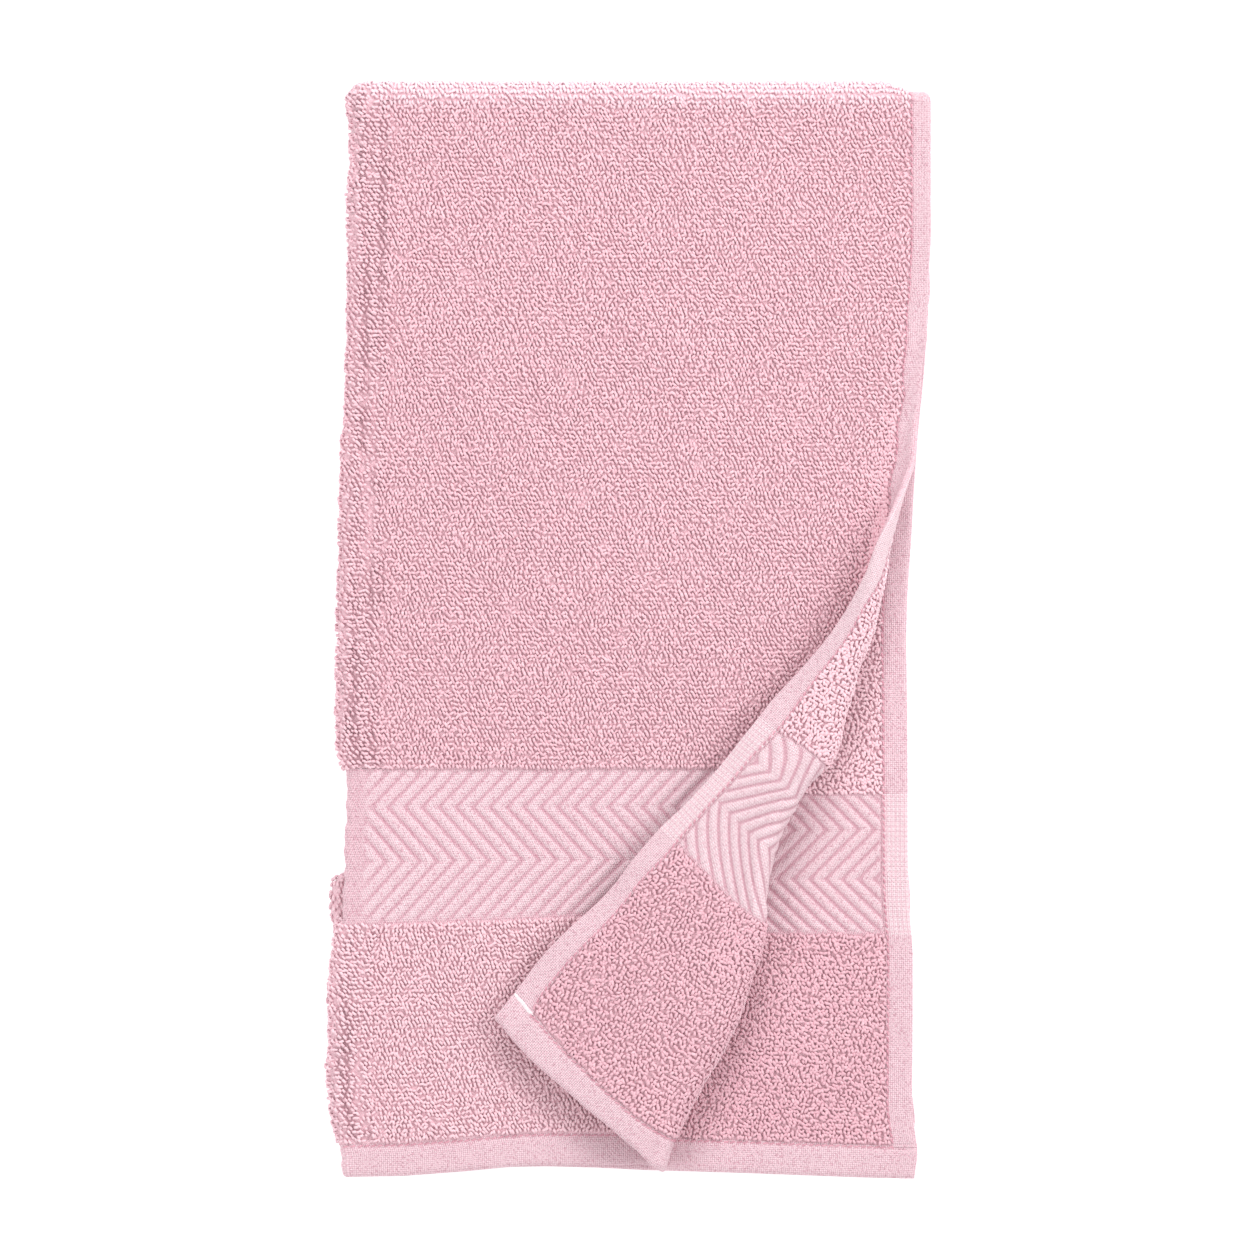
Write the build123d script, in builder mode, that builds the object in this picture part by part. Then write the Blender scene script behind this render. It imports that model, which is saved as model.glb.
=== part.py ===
from build123d import *
import os
from math import atan2, cos, degrees, radians, sin

os.makedirs("parts", exist_ok=True)

# ---------------------------------------------------------------------------
# Folded cotton terry hand towel, lying flat, with one corner turned over.
# One woven panel, 406 x 762 mm open, hemmed all round, folded in half
# lengthwise (rounded fold on the left, -X) and then in half crosswise
# (rounded fold at the top, +Y): four leaves, numbered here from the top:
#   leaf 1 front leaf, leaf 2 second leaf, leaf 3 inner back leaf,
#   leaf 4 back leaf (it lies on the table).
# Millimetres, +Z up, origin at the bottom centre of the folded stack.
# ---------------------------------------------------------------------------

# --- cloth thicknesses ------------------------------------------------------
TERRY = 4.0          # looped on both faces, lightly pressed
BORDER = 2.4         # flat woven herringbone border
HEM = 3.0            # plain weave, turned twice
SEAM_W = 0.6         # lockstitch thread line, proud of the hem
SEAM_H = 0.35
GAP = 0.3            # running clearance between leaves that move apart

# --- levels of the four leaves (undersides) -----------------------------------
Z4 = 0.0
Z3 = Z4 + TERRY
Z2 = Z3 + TERRY + GAP
Z1 = Z2 + TERRY
Z_CROSS = Z3 + TERRY + GAP / 2        # crosswise fold opens about this level

# --- plan of the folded towel -------------------------------------------------
TOP = 191.3                            # outside of the crosswise fold
R_OUT = 2 * TERRY                      # outer leaf turns over at this radius
Y0 = TOP - R_OUT                       # where the leaves start to turn over

HEM_SIDE = 9.4                         # width of the long-edge hems
HEM_END = 11.5                         # width of the end hems

L1_RIGHT, L1_BOTTOM = 105.0, -190.5
L2_RIGHT, L2_BOTTOM = 98.1, -191.3
L3_RIGHT, L3_BOTTOM = 99.5, -180.0
L4_RIGHT, L4_BOTTOM = 102.5, -179.0

B1_LOW, B1_HIGH = -101.2, -50.9        # herringbone border on each leaf
B2_LOW, B2_HIGH = -106.4, -57.5
B3_LOW, B3_HIGH = -88.0, -38.0
B4_LOW, B4_HIGH = -86.6, -36.6

# left-hand fold: where the leaves start to turn, zone by zone
F_TERRY, F_BORDER, F_END, F_HEM = -97.7, -95.2, -100.3, -96.0     # front pair
K_TERRY, K_BORDER, K_END, K_HEM = -97.0, -94.8, -101.0, -97.5     # back pair

# --- crease of the turned corner ------------------------------------------------
CREASE_X, CREASE_Y = 48.5, -100.0      # a point on its outermost line
CREASE_TILT = 19.4                     # degrees off +Y, leaning to the right
ROLL_OUT, ROLL_IN = 8.0, 4.0           # roll of the cloth round the crease
CORNER_SLOPE = 4.5                     # flap falls from the crease to its tip
Z_ROLL_LOW = Z1 + ROLL_OUT             # centre of the roll, lower quarter
Z_ROLL_UP = Z_ROLL_LOW + GAP           # centre of the roll, upper quarter

cx, cy = sin(radians(CREASE_TILT)), cos(radians(CREASE_TILT))


def crease_x(y, inset=0.0):
    """X of the crease's outermost line at height y, moved left by inset."""
    return CREASE_X + (y - CREASE_Y) * cx / cy - inset / cy


def to_flap(x, y):
    """Plan point to flap coordinates: p leftwards from the crease, q along it."""
    dx, dy = x - CREASE_X, y - CREASE_Y
    return (-(dx * cy - dy * cx), dx * cx + dy * cy)


# plane of the flap's underside: local x points left across the flap and falls
flap_x = Vector(-cy * cos(radians(CORNER_SLOPE)), cx * cos(radians(CORNER_SLOPE)),
                -sin(radians(CORNER_SLOPE)))
flap_y = Vector(cx, cy, 0)
flap_base = Vector(CREASE_X - cy * ROLL_OUT, CREASE_Y + cx * ROLL_OUT,
                   Z_ROLL_UP + ROLL_IN)
flap_n = flap_x.cross(flap_y)
if flap_n.Z < 0:
    flap_n = flap_n * -1
    flap_sign = -1.0
else:
    flap_sign = 1.0
FLAP = Plane(origin=flap_base, x_dir=flap_x, z_dir=flap_n)


def flap_pts(points):
    """Plan points (x, y) to sketch points on the flap plane."""
    out = []
    for x, y in points:
        p, q = to_flap(x, y)
        out.append((p - ROLL_OUT, flap_sign * q))
    return out


def quarter_ring(cy_, cz_, r_in, r_out, upper=True):
    """Face of a quarter ring that bulges to +Y, for a YZ sketch."""
    s = 1 if upper else -1
    with BuildLine() as ln:
        if r_in > 0:
            Line((cy_, cz_ + s * r_in), (cy_, cz_ + s * r_out))
            CenterArc((cy_, cz_), r_out, 0, s * 90)
            Line((cy_ + r_out, cz_), (cy_ + r_in, cz_))
            CenterArc((cy_, cz_), r_in, 0, s * 90)
        else:
            Line((cy_, cz_), (cy_, cz_ + s * r_out))
            CenterArc((cy_, cz_), r_out, 0, s * 90)
            Line((cy_ + r_out, cz_), (cy_, cz_))
    return make_face(ln.edges(), mode=Mode.PRIVATE)


def half_ring(cx_, cz_, r_in, r_out):
    """Face of a half ring that bulges to -X, for an XZ sketch."""
    with BuildLine() as ln:
        if r_in > 0:
            Line((cx_, cz_ + r_in), (cx_, cz_ + r_out))
            CenterArc((cx_, cz_), r_out, 90, 180)
            Line((cx_, cz_ - r_out), (cx_, cz_ - r_in))
            CenterArc((cx_, cz_), r_in, 90, 180)
        else:
            Line((cx_, cz_ - r_out), (cx_, cz_ + r_out))
            CenterArc((cx_, cz_), r_out, 90, 180)
    return make_face(ln.edges(), mode=Mode.PRIVATE)


# ============================ leaf 4: back leaf ================================
with BuildPart() as back_leaf_terry:
    with BuildSketch(Plane.XY.offset(Z4)):
        with BuildLine():
            Polyline((K_TERRY, B4_HIGH), (L4_RIGHT - HEM_SIDE, B4_HIGH),
                     (L4_RIGHT - HEM_SIDE, Y0), (K_TERRY, Y0), close=True)
        make_face()
    extrude(amount=TERRY)
    fillet(back_leaf_terry.edges().filter_by(Axis.X).group_by(Axis.Y)[0], 1.0)
back_leaf_terry.part.label = "back_leaf_terry"

with BuildPart() as back_leaf_border:
    with BuildSketch(Plane.XY.offset(Z4 + (TERRY - BORDER) / 2)):
        with BuildLine():
            Polyline((K_BORDER, B4_LOW), (L4_RIGHT - HEM_SIDE, B4_LOW),
                     (L4_RIGHT - HEM_SIDE, B4_HIGH), (K_BORDER, B4_HIGH), close=True)
        make_face()
    extrude(amount=BORDER)
back_leaf_border.part.label = "back_leaf_border"

with BuildPart() as back_leaf_end_terry:
    with BuildSketch(Plane.XY.offset(Z4)):
        with BuildLine():
            Polyline((K_END, L4_BOTTOM + HEM_END), (L4_RIGHT - HEM_SIDE, L4_BOTTOM + HEM_END),
                     (L4_RIGHT - HEM_SIDE, B4_LOW), (K_END, B4_LOW), close=True)
        make_face()
    extrude(amount=TERRY)
    fillet(back_leaf_end_terry.edges().filter_by(Axis.X), 1.0)
back_leaf_end_terry.part.label = "back_leaf_end_terry"

with BuildPart() as back_leaf_end_hem:
    with BuildSketch(Plane.XY.offset(Z4 + (TERRY - HEM) / 2)):
        with BuildLine():
            Polyline((K_HEM, L4_BOTTOM), (L4_RIGHT, L4_BOTTOM),
                     (L4_RIGHT, L4_BOTTOM + HEM_END), (K_HEM, L4_BOTTOM + HEM_END), close=True)
        make_face()
    extrude(amount=HEM)
    fillet(back_leaf_end_hem.edges().filter_by(Axis.X).group_by(Axis.Y)[0], 1.2)
back_leaf_end_hem.part.label = "back_leaf_end_hem"

with BuildPart() as back_leaf_side_hem:
    with BuildSketch(Plane.XY.offset(Z4 + (TERRY - HEM) / 2)):
        with BuildLine():
            Polyline((L4_RIGHT - HEM_SIDE, L4_BOTTOM + HEM_END), (L4_RIGHT, L4_BOTTOM + HEM_END),
                     (L4_RIGHT, Y0), (L4_RIGHT - HEM_SIDE, Y0), close=True)
        make_face()
    extrude(amount=HEM)
    with BuildSketch(Plane.YZ.offset(L4_RIGHT - HEM_SIDE)):
        add(quarter_ring(Y0, Z3 + TERRY, TERRY + 0.5, TERRY + 3.5, upper=False))
    extrude(amount=HEM_SIDE)
back_leaf_side_hem.part.label = "back_leaf_side_hem"

# ========================= leaf 3: inner back leaf ===============================
with BuildPart() as inner_leaf_terry:
    with BuildSketch(Plane.XY.offset(Z3)):
        with BuildLine():
            Polyline((K_TERRY, B3_HIGH), (L3_RIGHT - HEM_SIDE, B3_HIGH),
                     (L3_RIGHT - HEM_SIDE, Y0), (K_TERRY, Y0), close=True)
        make_face()
    extrude(amount=TERRY)
    fillet(inner_leaf_terry.edges().filter_by(Axis.X).group_by(Axis.Y)[0], 1.0)
inner_leaf_terry.part.label = "inner_leaf_terry"

with BuildPart() as inner_leaf_border:
    with BuildSketch(Plane.XY.offset(Z3 + (TERRY - BORDER) / 2)):
        with BuildLine():
            Polyline((K_BORDER, B3_LOW), (L3_RIGHT - HEM_SIDE, B3_LOW),
                     (L3_RIGHT - HEM_SIDE, B3_HIGH), (K_BORDER, B3_HIGH), close=True)
        make_face()
    extrude(amount=BORDER)
inner_leaf_border.part.label = "inner_leaf_border"

with BuildPart() as inner_leaf_end_terry:
    with BuildSketch(Plane.XY.offset(Z3)):
        with BuildLine():
            Polyline((K_END, L3_BOTTOM + HEM_END), (L3_RIGHT - HEM_SIDE, L3_BOTTOM + HEM_END),
                     (L3_RIGHT - HEM_SIDE, B3_LOW), (K_END, B3_LOW), close=True)
        make_face()
    extrude(amount=TERRY)
    fillet(inner_leaf_end_terry.edges().filter_by(Axis.X), 1.0)
inner_leaf_end_terry.part.label = "inner_leaf_end_terry"

with BuildPart() as inner_leaf_end_hem:
    with BuildSketch(Plane.XY.offset(Z3 + (TERRY - HEM) / 2)):
        with BuildLine():
            Polyline((K_HEM, L3_BOTTOM), (L3_RIGHT, L3_BOTTOM),
                     (L3_RIGHT, L3_BOTTOM + HEM_END), (K_HEM, L3_BOTTOM + HEM_END), close=True)
        make_face()
    extrude(amount=HEM)
    fillet(inner_leaf_end_hem.edges().filter_by(Axis.X).group_by(Axis.Y)[0], 1.2)
inner_leaf_end_hem.part.label = "inner_leaf_end_hem"

with BuildPart() as inner_leaf_side_hem:
    with BuildSketch(Plane.XY.offset(Z3 + (TERRY - HEM) / 2)):
        with BuildLine():
            Polyline((L3_RIGHT - HEM_SIDE, L3_BOTTOM + HEM_END), (L3_RIGHT, L3_BOTTOM + HEM_END),
                     (L3_RIGHT, Y0), (L3_RIGHT - HEM_SIDE, Y0), close=True)
        make_face()
    extrude(amount=HEM)
    with BuildSketch(Plane.YZ.offset(L3_RIGHT - HEM_SIDE)):
        add(quarter_ring(Y0, Z3 + TERRY, 0.5, 3.5, upper=False))
    extrude(amount=HEM_SIDE)
inner_leaf_side_hem.part.label = "inner_leaf_side_hem"

# ===================== folds that belong to the back half =========================
with BuildPart() as back_left_fold:
    with BuildSketch(Plane.XZ.offset(-Y0)):
        add(half_ring(K_TERRY, Z3, 0, TERRY))
    extrude(amount=Y0 - B3_HIGH)
    with BuildSketch(Plane.XZ.offset(-B3_HIGH)):
        add(half_ring(K_BORDER, Z3, 0.8, 3.2))
    extrude(amount=B3_HIGH - B4_LOW)
    with BuildSketch(Plane.XZ.offset(-B4_LOW)):
        add(half_ring(K_END, Z3, 0, TERRY))
    extrude(amount=B4_LOW - (L3_BOTTOM + HEM_END))
    with BuildSketch(Plane.XZ.offset(-(L3_BOTTOM + HEM_END))):
        add(half_ring(K_HEM, Z3, 0.5, 3.5))
    extrude(amount=HEM_END)
back_left_fold.part.label = "back_left_fold"

with BuildPart() as outer_top_fold_lower:
    with BuildSketch(Plane.YZ.offset(K_TERRY - TERRY)):
        add(quarter_ring(Y0, Z3 + TERRY, TERRY, R_OUT, upper=False))
    extrude(amount=L4_RIGHT - HEM_SIDE - K_TERRY + TERRY)
outer_top_fold_lower.part.label = "outer_top_fold_lower"

with BuildPart() as inner_top_fold_lower:
    with BuildSketch(Plane.YZ.offset(K_TERRY - TERRY)):
        add(quarter_ring(Y0, Z3 + TERRY, 0, TERRY, upper=False))
    extrude(amount=L3_RIGHT - HEM_SIDE - K_TERRY + TERRY)
inner_top_fold_lower.part.label = "inner_top_fold_lower"

# ============================ leaf 2: second leaf ===============================
with BuildPart() as second_leaf_terry:
    with BuildSketch(Plane.XY.offset(Z2)):
        with BuildLine():
            Polyline((F_BORDER, B2_HIGH), (L2_RIGHT - HEM_SIDE, B2_HIGH),
                     (L2_RIGHT - HEM_SIDE, Y0), (F_TERRY, Y0),
                     (F_TERRY, B1_HIGH), (F_BORDER, B1_HIGH), close=True)
        make_face()
    extrude(amount=TERRY)
    fillet(second_leaf_terry.edges().filter_by(Axis.X).group_by(Axis.Y)[0], 1.0)
second_leaf_terry.part.label = "second_leaf_terry"

with BuildPart() as second_leaf_border:
    with BuildSketch(Plane.XY.offset(Z2 + (TERRY - BORDER) / 2)):
        with BuildLine():
            Polyline((F_BORDER, B2_LOW), (L2_RIGHT - HEM_SIDE, B2_LOW),
                     (L2_RIGHT - HEM_SIDE, B2_HIGH), (F_BORDER, B2_HIGH), close=True)
        make_face()
    extrude(amount=BORDER)
second_leaf_border.part.label = "second_leaf_border"

with BuildPart() as second_leaf_end_terry:
    with BuildSketch(Plane.XY.offset(Z2)):
        with BuildLine():
            Polyline((F_END, L2_BOTTOM + HEM_END), (L2_RIGHT - HEM_SIDE, L2_BOTTOM + HEM_END),
                     (L2_RIGHT - HEM_SIDE, B2_LOW), (F_END, B2_LOW), close=True)
        make_face()
    extrude(amount=TERRY)
    fillet(second_leaf_end_terry.edges().filter_by(Axis.X), 1.0)
second_leaf_end_terry.part.label = "second_leaf_end_terry"

with BuildPart() as second_leaf_end_hem:
    with BuildSketch(Plane.XY.offset(Z2 + (TERRY - HEM) / 2)):
        with BuildLine():
            Polyline((F_HEM, L2_BOTTOM), (L2_RIGHT, L2_BOTTOM),
                     (L2_RIGHT, L2_BOTTOM + HEM_END), (F_HEM, L2_BOTTOM + HEM_END), close=True)
        make_face()
    extrude(amount=HEM)
    fillet(second_leaf_end_hem.edges().filter_by(Axis.X).group_by(Axis.Y)[0], 1.2)
second_leaf_end_hem.part.label = "second_leaf_end_hem"

with BuildPart() as second_leaf_side_hem:
    with BuildSketch(Plane.XY.offset(Z2 + (TERRY - HEM) / 2)):
        with BuildLine():
            Polyline((L2_RIGHT - HEM_SIDE, L2_BOTTOM + HEM_END), (L2_RIGHT, L2_BOTTOM + HEM_END),
                     (L2_RIGHT, Y0), (L2_RIGHT - HEM_SIDE, Y0), close=True)
        make_face()
    extrude(amount=HEM)
    with BuildSketch(Plane.YZ.offset(L2_RIGHT - HEM_SIDE)):
        add(quarter_ring(Y0, Z2, 0.5, 3.5))
    extrude(amount=HEM_SIDE)
second_leaf_side_hem.part.label = "second_leaf_side_hem"

# ============ leaf 1: front leaf, up to the roll of the turned corner ==============
HEM1_STOP = 58.0      # the side hem leaves the front leaf here and twists over
with BuildPart() as front_leaf_terry:
    with BuildSketch(Plane.XY.offset(Z1)):
        with BuildLine():
            Polyline((F_TERRY, B1_HIGH), (crease_x(B1_HIGH, ROLL_OUT), B1_HIGH),
                     (crease_x(HEM1_STOP, ROLL_OUT), HEM1_STOP),
                     (L1_RIGHT - HEM_SIDE, HEM1_STOP),
                     (L1_RIGHT - HEM_SIDE, Y0), (F_TERRY, Y0), close=True)
        make_face()
    extrude(amount=TERRY)
    fillet(front_leaf_terry.edges().filter_by(Axis.X).group_by(Axis.Y)[0], 1.0)
front_leaf_terry.part.label = "front_leaf_terry"

with BuildPart() as front_leaf_border:
    with BuildSketch(Plane.XY.offset(Z1 + (TERRY - BORDER) / 2)):
        with BuildLine():
            Polyline((F_BORDER, B1_LOW), (crease_x(B1_LOW, ROLL_OUT), B1_LOW),
                     (crease_x(B1_HIGH, ROLL_OUT), B1_HIGH), (F_BORDER, B1_HIGH), close=True)
        make_face()
    extrude(amount=BORDER)
front_leaf_border.part.label = "front_leaf_border"

with BuildPart() as front_leaf_end_terry:
    with BuildSketch(Plane.XY.offset(Z1)):
        with BuildLine():
            Polyline((F_END, L1_BOTTOM + HEM_END),
                     (crease_x(L1_BOTTOM + HEM_END, ROLL_OUT), L1_BOTTOM + HEM_END),
                     (crease_x(B1_LOW, ROLL_OUT), B1_LOW), (F_END, B1_LOW), close=True)
        make_face()
    extrude(amount=TERRY)
    fillet(front_leaf_end_terry.edges().filter_by(Axis.X), 1.0)
front_leaf_end_terry.part.label = "front_leaf_end_terry"

with BuildPart() as front_leaf_end_hem:
    with BuildSketch(Plane.XY.offset(Z1 + (TERRY - HEM) / 2)):
        with BuildLine():
            Polyline((F_HEM, L1_BOTTOM), (crease_x(L1_BOTTOM, ROLL_OUT), L1_BOTTOM),
                     (crease_x(L1_BOTTOM + HEM_END, ROLL_OUT), L1_BOTTOM + HEM_END),
                     (F_HEM, L1_BOTTOM + HEM_END), close=True)
        make_face()
    extrude(amount=HEM)
    fillet(front_leaf_end_hem.edges().filter_by(Axis.X).group_by(Axis.Y)[0], 1.2)
front_leaf_end_hem.part.label = "front_leaf_end_hem"

with BuildPart() as front_leaf_side_hem:
    with BuildSketch(Plane.XY.offset(Z1 + (TERRY - HEM) / 2)):
        with BuildLine():
            Polyline((L1_RIGHT - HEM_SIDE, HEM1_STOP), (L1_RIGHT, HEM1_STOP),
                     (L1_RIGHT, Y0), (L1_RIGHT - HEM_SIDE, Y0), close=True)
        make_face()
    extrude(amount=HEM)
    with BuildSketch(Plane.YZ.offset(L1_RIGHT - HEM_SIDE)):
        add(quarter_ring(Y0, Z2, TERRY + 0.5, TERRY + 3.5))
    extrude(amount=HEM_SIDE)
front_leaf_side_hem.part.label = "front_leaf_side_hem"

# ===================== folds that belong to the front half =========================
with BuildPart() as front_left_fold:
    with BuildSketch(Plane.XZ.offset(-Y0)):
        add(half_ring(F_TERRY, Z1, 0, TERRY))
    extrude(amount=Y0 - B1_HIGH)
    with BuildSketch(Plane.XZ.offset(-B1_HIGH)):
        add(half_ring(F_BORDER, Z1, 0.8, 3.2))
    extrude(amount=B1_HIGH - B1_LOW)
    with BuildSketch(Plane.XZ.offset(-B1_LOW)):
        add(half_ring(F_END, Z1, 0, TERRY))
    extrude(amount=B1_LOW - (L2_BOTTOM + HEM_END))
    with BuildSketch(Plane.XZ.offset(-(L2_BOTTOM + HEM_END))):
        add(half_ring(F_HEM, Z1, 0.5, 3.5))
    extrude(amount=HEM_END)
front_left_fold.part.label = "front_left_fold"

with BuildPart() as outer_top_fold_upper:
    with BuildSketch(Plane.YZ.offset(F_TERRY - TERRY)):
        add(quarter_ring(Y0, Z2, TERRY, R_OUT))
    extrude(amount=L1_RIGHT - HEM_SIDE - F_TERRY + TERRY)
outer_top_fold_upper.part.label = "outer_top_fold_upper"

with BuildPart() as inner_top_fold_upper:
    with BuildSketch(Plane.YZ.offset(F_TERRY - TERRY)):
        add(quarter_ring(Y0, Z2, 0, TERRY))
    extrude(amount=L2_RIGHT - HEM_SIDE - F_TERRY + TERRY)
inner_top_fold_upper.part.label = "inner_top_fold_upper"

# lower quarter of the roll at the crease, square across the crease line
ROLL_Q0 = to_flap(crease_x(L1_BOTTOM + 2.0), L1_BOTTOM + 2.0)[1]
ROLL_Q1 = to_flap(crease_x(50.0), 50.0)[1]
ROLL_Q2 = to_flap(crease_x(20.0), 20.0)[1]
roll_start = Vector(CREASE_X + cx * ROLL_Q0, CREASE_Y + cy * ROLL_Q0, 0)
# sketch plane across the crease: local x = right across the crease, local y = up
ACROSS = Plane(origin=roll_start, x_dir=(cy, -cx, 0), z_dir=(-cx, -cy, 0))

with BuildPart() as corner_roll_lower:
    with BuildSketch(ACROSS):
        add(quarter_ring(-ROLL_OUT, Z_ROLL_LOW, ROLL_IN, ROLL_OUT, upper=False))
    extrude(amount=-(ROLL_Q1 - ROLL_Q0))
corner_roll_lower.part.label = "corner_roll_lower"

# ============================ the turned corner =================================
TIP = (-46.4, -134.5)                  # the panel's corner, turned over
ux, uy = 0.655, 0.7556                 # along the side hem, away from the tip
vx, vy = 0.7556, -0.655                # along the end hem, away from the tip


def flap_point(u, v):
    """Plan point u along the side hem and v along the end hem from the tip."""
    return (TIP[0] + u * ux + v * vx, TIP[1] + u * uy + v * vy)


def meet_roll(u):
    """v at which the line u = constant reaches the roll."""
    v = 0.0
    while to_flap(*flap_point(u, v))[0] > ROLL_OUT and v < 200:
        v += 0.05
    return v


C_HEM = HEM_END                        # zones along the side hem, from the tip
C_B0, C_B1 = 85.5, 137.5
C_NARROW = 164.0                       # above this the hem alone is left
C_TOP = 183.0
with BuildPart() as corner_roll_upper:
    with BuildSketch(ACROSS):
        add(quarter_ring(-ROLL_OUT, Z_ROLL_UP, ROLL_IN, ROLL_OUT))
    extrude(amount=-(ROLL_Q2 - ROLL_Q0))
    # the side hem twists over the roll's upper end, so the roll stops beside it
    with BuildSketch(Plane.XY.offset(Z_ROLL_UP - 1)):
        with BuildLine():
            Polyline(flap_point(130, -12), flap_point(130, HEM_SIDE + 0.1),
                     flap_point(C_TOP - 8.0, HEM_SIDE + 0.1), (88.5, 26.0), (96.2, 44.0),
                     (90, 60), flap_point(C_TOP, -12), close=True)
        make_face()
    extrude(amount=ROLL_OUT + 4, mode=Mode.SUBTRACT)
corner_roll_upper.part.label = "corner_roll_upper"

with BuildPart() as corner_end_hem:
    with BuildSketch(FLAP.offset((TERRY - HEM) / 2)):
        with BuildLine():
            Polyline(*flap_pts([flap_point(0, 0), flap_point(0, meet_roll(0)),
                                flap_point(C_HEM, meet_roll(C_HEM)), flap_point(C_HEM, 0)]),
                     close=True)
        make_face()
    extrude(amount=HEM)
corner_end_hem.part.label = "corner_end_hem"

with BuildPart() as corner_end_terry:
    with BuildSketch(FLAP):
        with BuildLine():
            Polyline(*flap_pts([flap_point(C_HEM, HEM_SIDE), flap_point(C_HEM, meet_roll(C_HEM)),
                                flap_point(C_B0, meet_roll(C_B0)), flap_point(C_B0, HEM_SIDE)]),
                     close=True)
        make_face()
    extrude(amount=TERRY)
corner_end_terry.part.label = "corner_end_terry"

with BuildPart() as corner_border:
    with BuildSketch(FLAP.offset((TERRY - BORDER) / 2)):
        with BuildLine():
            Polyline(*flap_pts([flap_point(C_B0, HEM_SIDE), flap_point(C_B0, meet_roll(C_B0)),
                                flap_point(C_B1, meet_roll(C_B1)), flap_point(C_B1, HEM_SIDE)]),
                     close=True)
        make_face()
    extrude(amount=BORDER)
corner_border.part.label = "corner_border"

with BuildPart() as corner_upper_terry:
    with BuildSketch(FLAP):
        with BuildLine():
            Polyline(*flap_pts([flap_point(C_B1, HEM_SIDE), flap_point(C_B1, meet_roll(C_B1)),
                                flap_point(C_NARROW, meet_roll(C_NARROW)),
                                flap_point(C_NARROW, HEM_SIDE)]),
                     close=True)
        make_face()
    extrude(amount=TERRY)
corner_upper_terry.part.label = "corner_upper_terry"

# the side hem runs up beside the flap and twists over the top of the roll
with BuildPart() as corner_side_hem:
    with BuildSketch(FLAP.offset((TERRY - HEM) / 2)):
        with BuildLine():
            Polyline(*flap_pts([flap_point(C_HEM, 0), flap_point(C_HEM, HEM_SIDE),
                                flap_point(C_TOP - 8.0, HEM_SIDE), (88.4, 26.2), (96.0, 44.0),
                                (96.4, 52.0), (89.1, 36.6), flap_point(C_TOP + 4.0, 0)]),
                     close=True)
        make_face()
    extrude(amount=HEM)
corner_side_hem.part.label = "corner_side_hem"

# ================================ seam threads ==================================
# one lockstitch line per hem, lying on the hem just inside its turned edge
SEAM_IN = 1.2
with BuildPart() as back_leaf_side_seam:
    with BuildSketch(Plane.XY.offset(Z4 + 3.5)):
        with Locations((L4_RIGHT - HEM_SIDE + SEAM_IN, (Y0 + L4_BOTTOM + HEM_END) / 2)):
            Rectangle(SEAM_W, Y0 - L4_BOTTOM - HEM_END)
    extrude(amount=SEAM_H)
back_leaf_side_seam.part.label = "back_leaf_side_seam"

with BuildPart() as inner_leaf_side_seam:
    with BuildSketch(Plane.XY.offset(Z3 + 3.5)):
        with Locations((L3_RIGHT - HEM_SIDE + SEAM_IN, (Y0 + L3_BOTTOM + HEM_END) / 2)):
            Rectangle(SEAM_W, Y0 - L3_BOTTOM - HEM_END)
    extrude(amount=SEAM_H)
inner_leaf_side_seam.part.label = "inner_leaf_side_seam"

with BuildPart() as back_end_seam:
    with BuildSketch(Plane.XY.offset(Z4 + 3.5)):
        with Locations(((K_HEM + L4_RIGHT) / 2, L4_BOTTOM + HEM_END - SEAM_IN)):
            Rectangle(L4_RIGHT - K_HEM - 1, SEAM_W)
    extrude(amount=SEAM_H)
    with BuildSketch(Plane.XY.offset(Z3 + 3.5)):
        with Locations(((K_HEM + L3_RIGHT) / 2, L3_BOTTOM + HEM_END - SEAM_IN)):
            Rectangle(L3_RIGHT - K_HEM - 1, SEAM_W)
    extrude(amount=SEAM_H)
back_end_seam.part.label = "back_end_seam"

with BuildPart() as second_leaf_side_seam:
    with BuildSketch(Plane.XY.offset(Z2 + 3.5)):
        with Locations((L2_RIGHT - HEM_SIDE + SEAM_IN, (Y0 + L2_BOTTOM + HEM_END) / 2)):
            Rectangle(SEAM_W, Y0 - L2_BOTTOM - HEM_END)
    extrude(amount=SEAM_H)
second_leaf_side_seam.part.label = "second_leaf_side_seam"

with BuildPart() as second_leaf_end_seam:
    with BuildSketch(Plane.XY.offset(Z2 + 3.5)):
        with Locations(((F_HEM + L2_RIGHT) / 2, L2_BOTTOM + HEM_END - SEAM_IN)):
            Rectangle(L2_RIGHT - F_HEM - 1, SEAM_W)
    extrude(amount=SEAM_H)
second_leaf_end_seam.part.label = "second_leaf_end_seam"

with BuildPart() as front_leaf_side_seam:
    with BuildSketch(Plane.XY.offset(Z1 + 3.5)):
        with Locations((L1_RIGHT - HEM_SIDE + SEAM_IN, (Y0 + HEM1_STOP) / 2)):
            Rectangle(SEAM_W, Y0 - HEM1_STOP)
    extrude(amount=SEAM_H)
front_leaf_side_seam.part.label = "front_leaf_side_seam"

with BuildPart() as front_leaf_end_seam:
    with BuildSketch(Plane.XY.offset(Z1 + 3.5)):
        x_end = crease_x(L1_BOTTOM + HEM_END, ROLL_OUT) - 2.0
        with Locations(((F_HEM + x_end) / 2, L1_BOTTOM + HEM_END - SEAM_IN)):
            Rectangle(x_end - F_HEM, SEAM_W)
    extrude(amount=SEAM_H)
front_leaf_end_seam.part.label = "front_leaf_end_seam"

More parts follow.
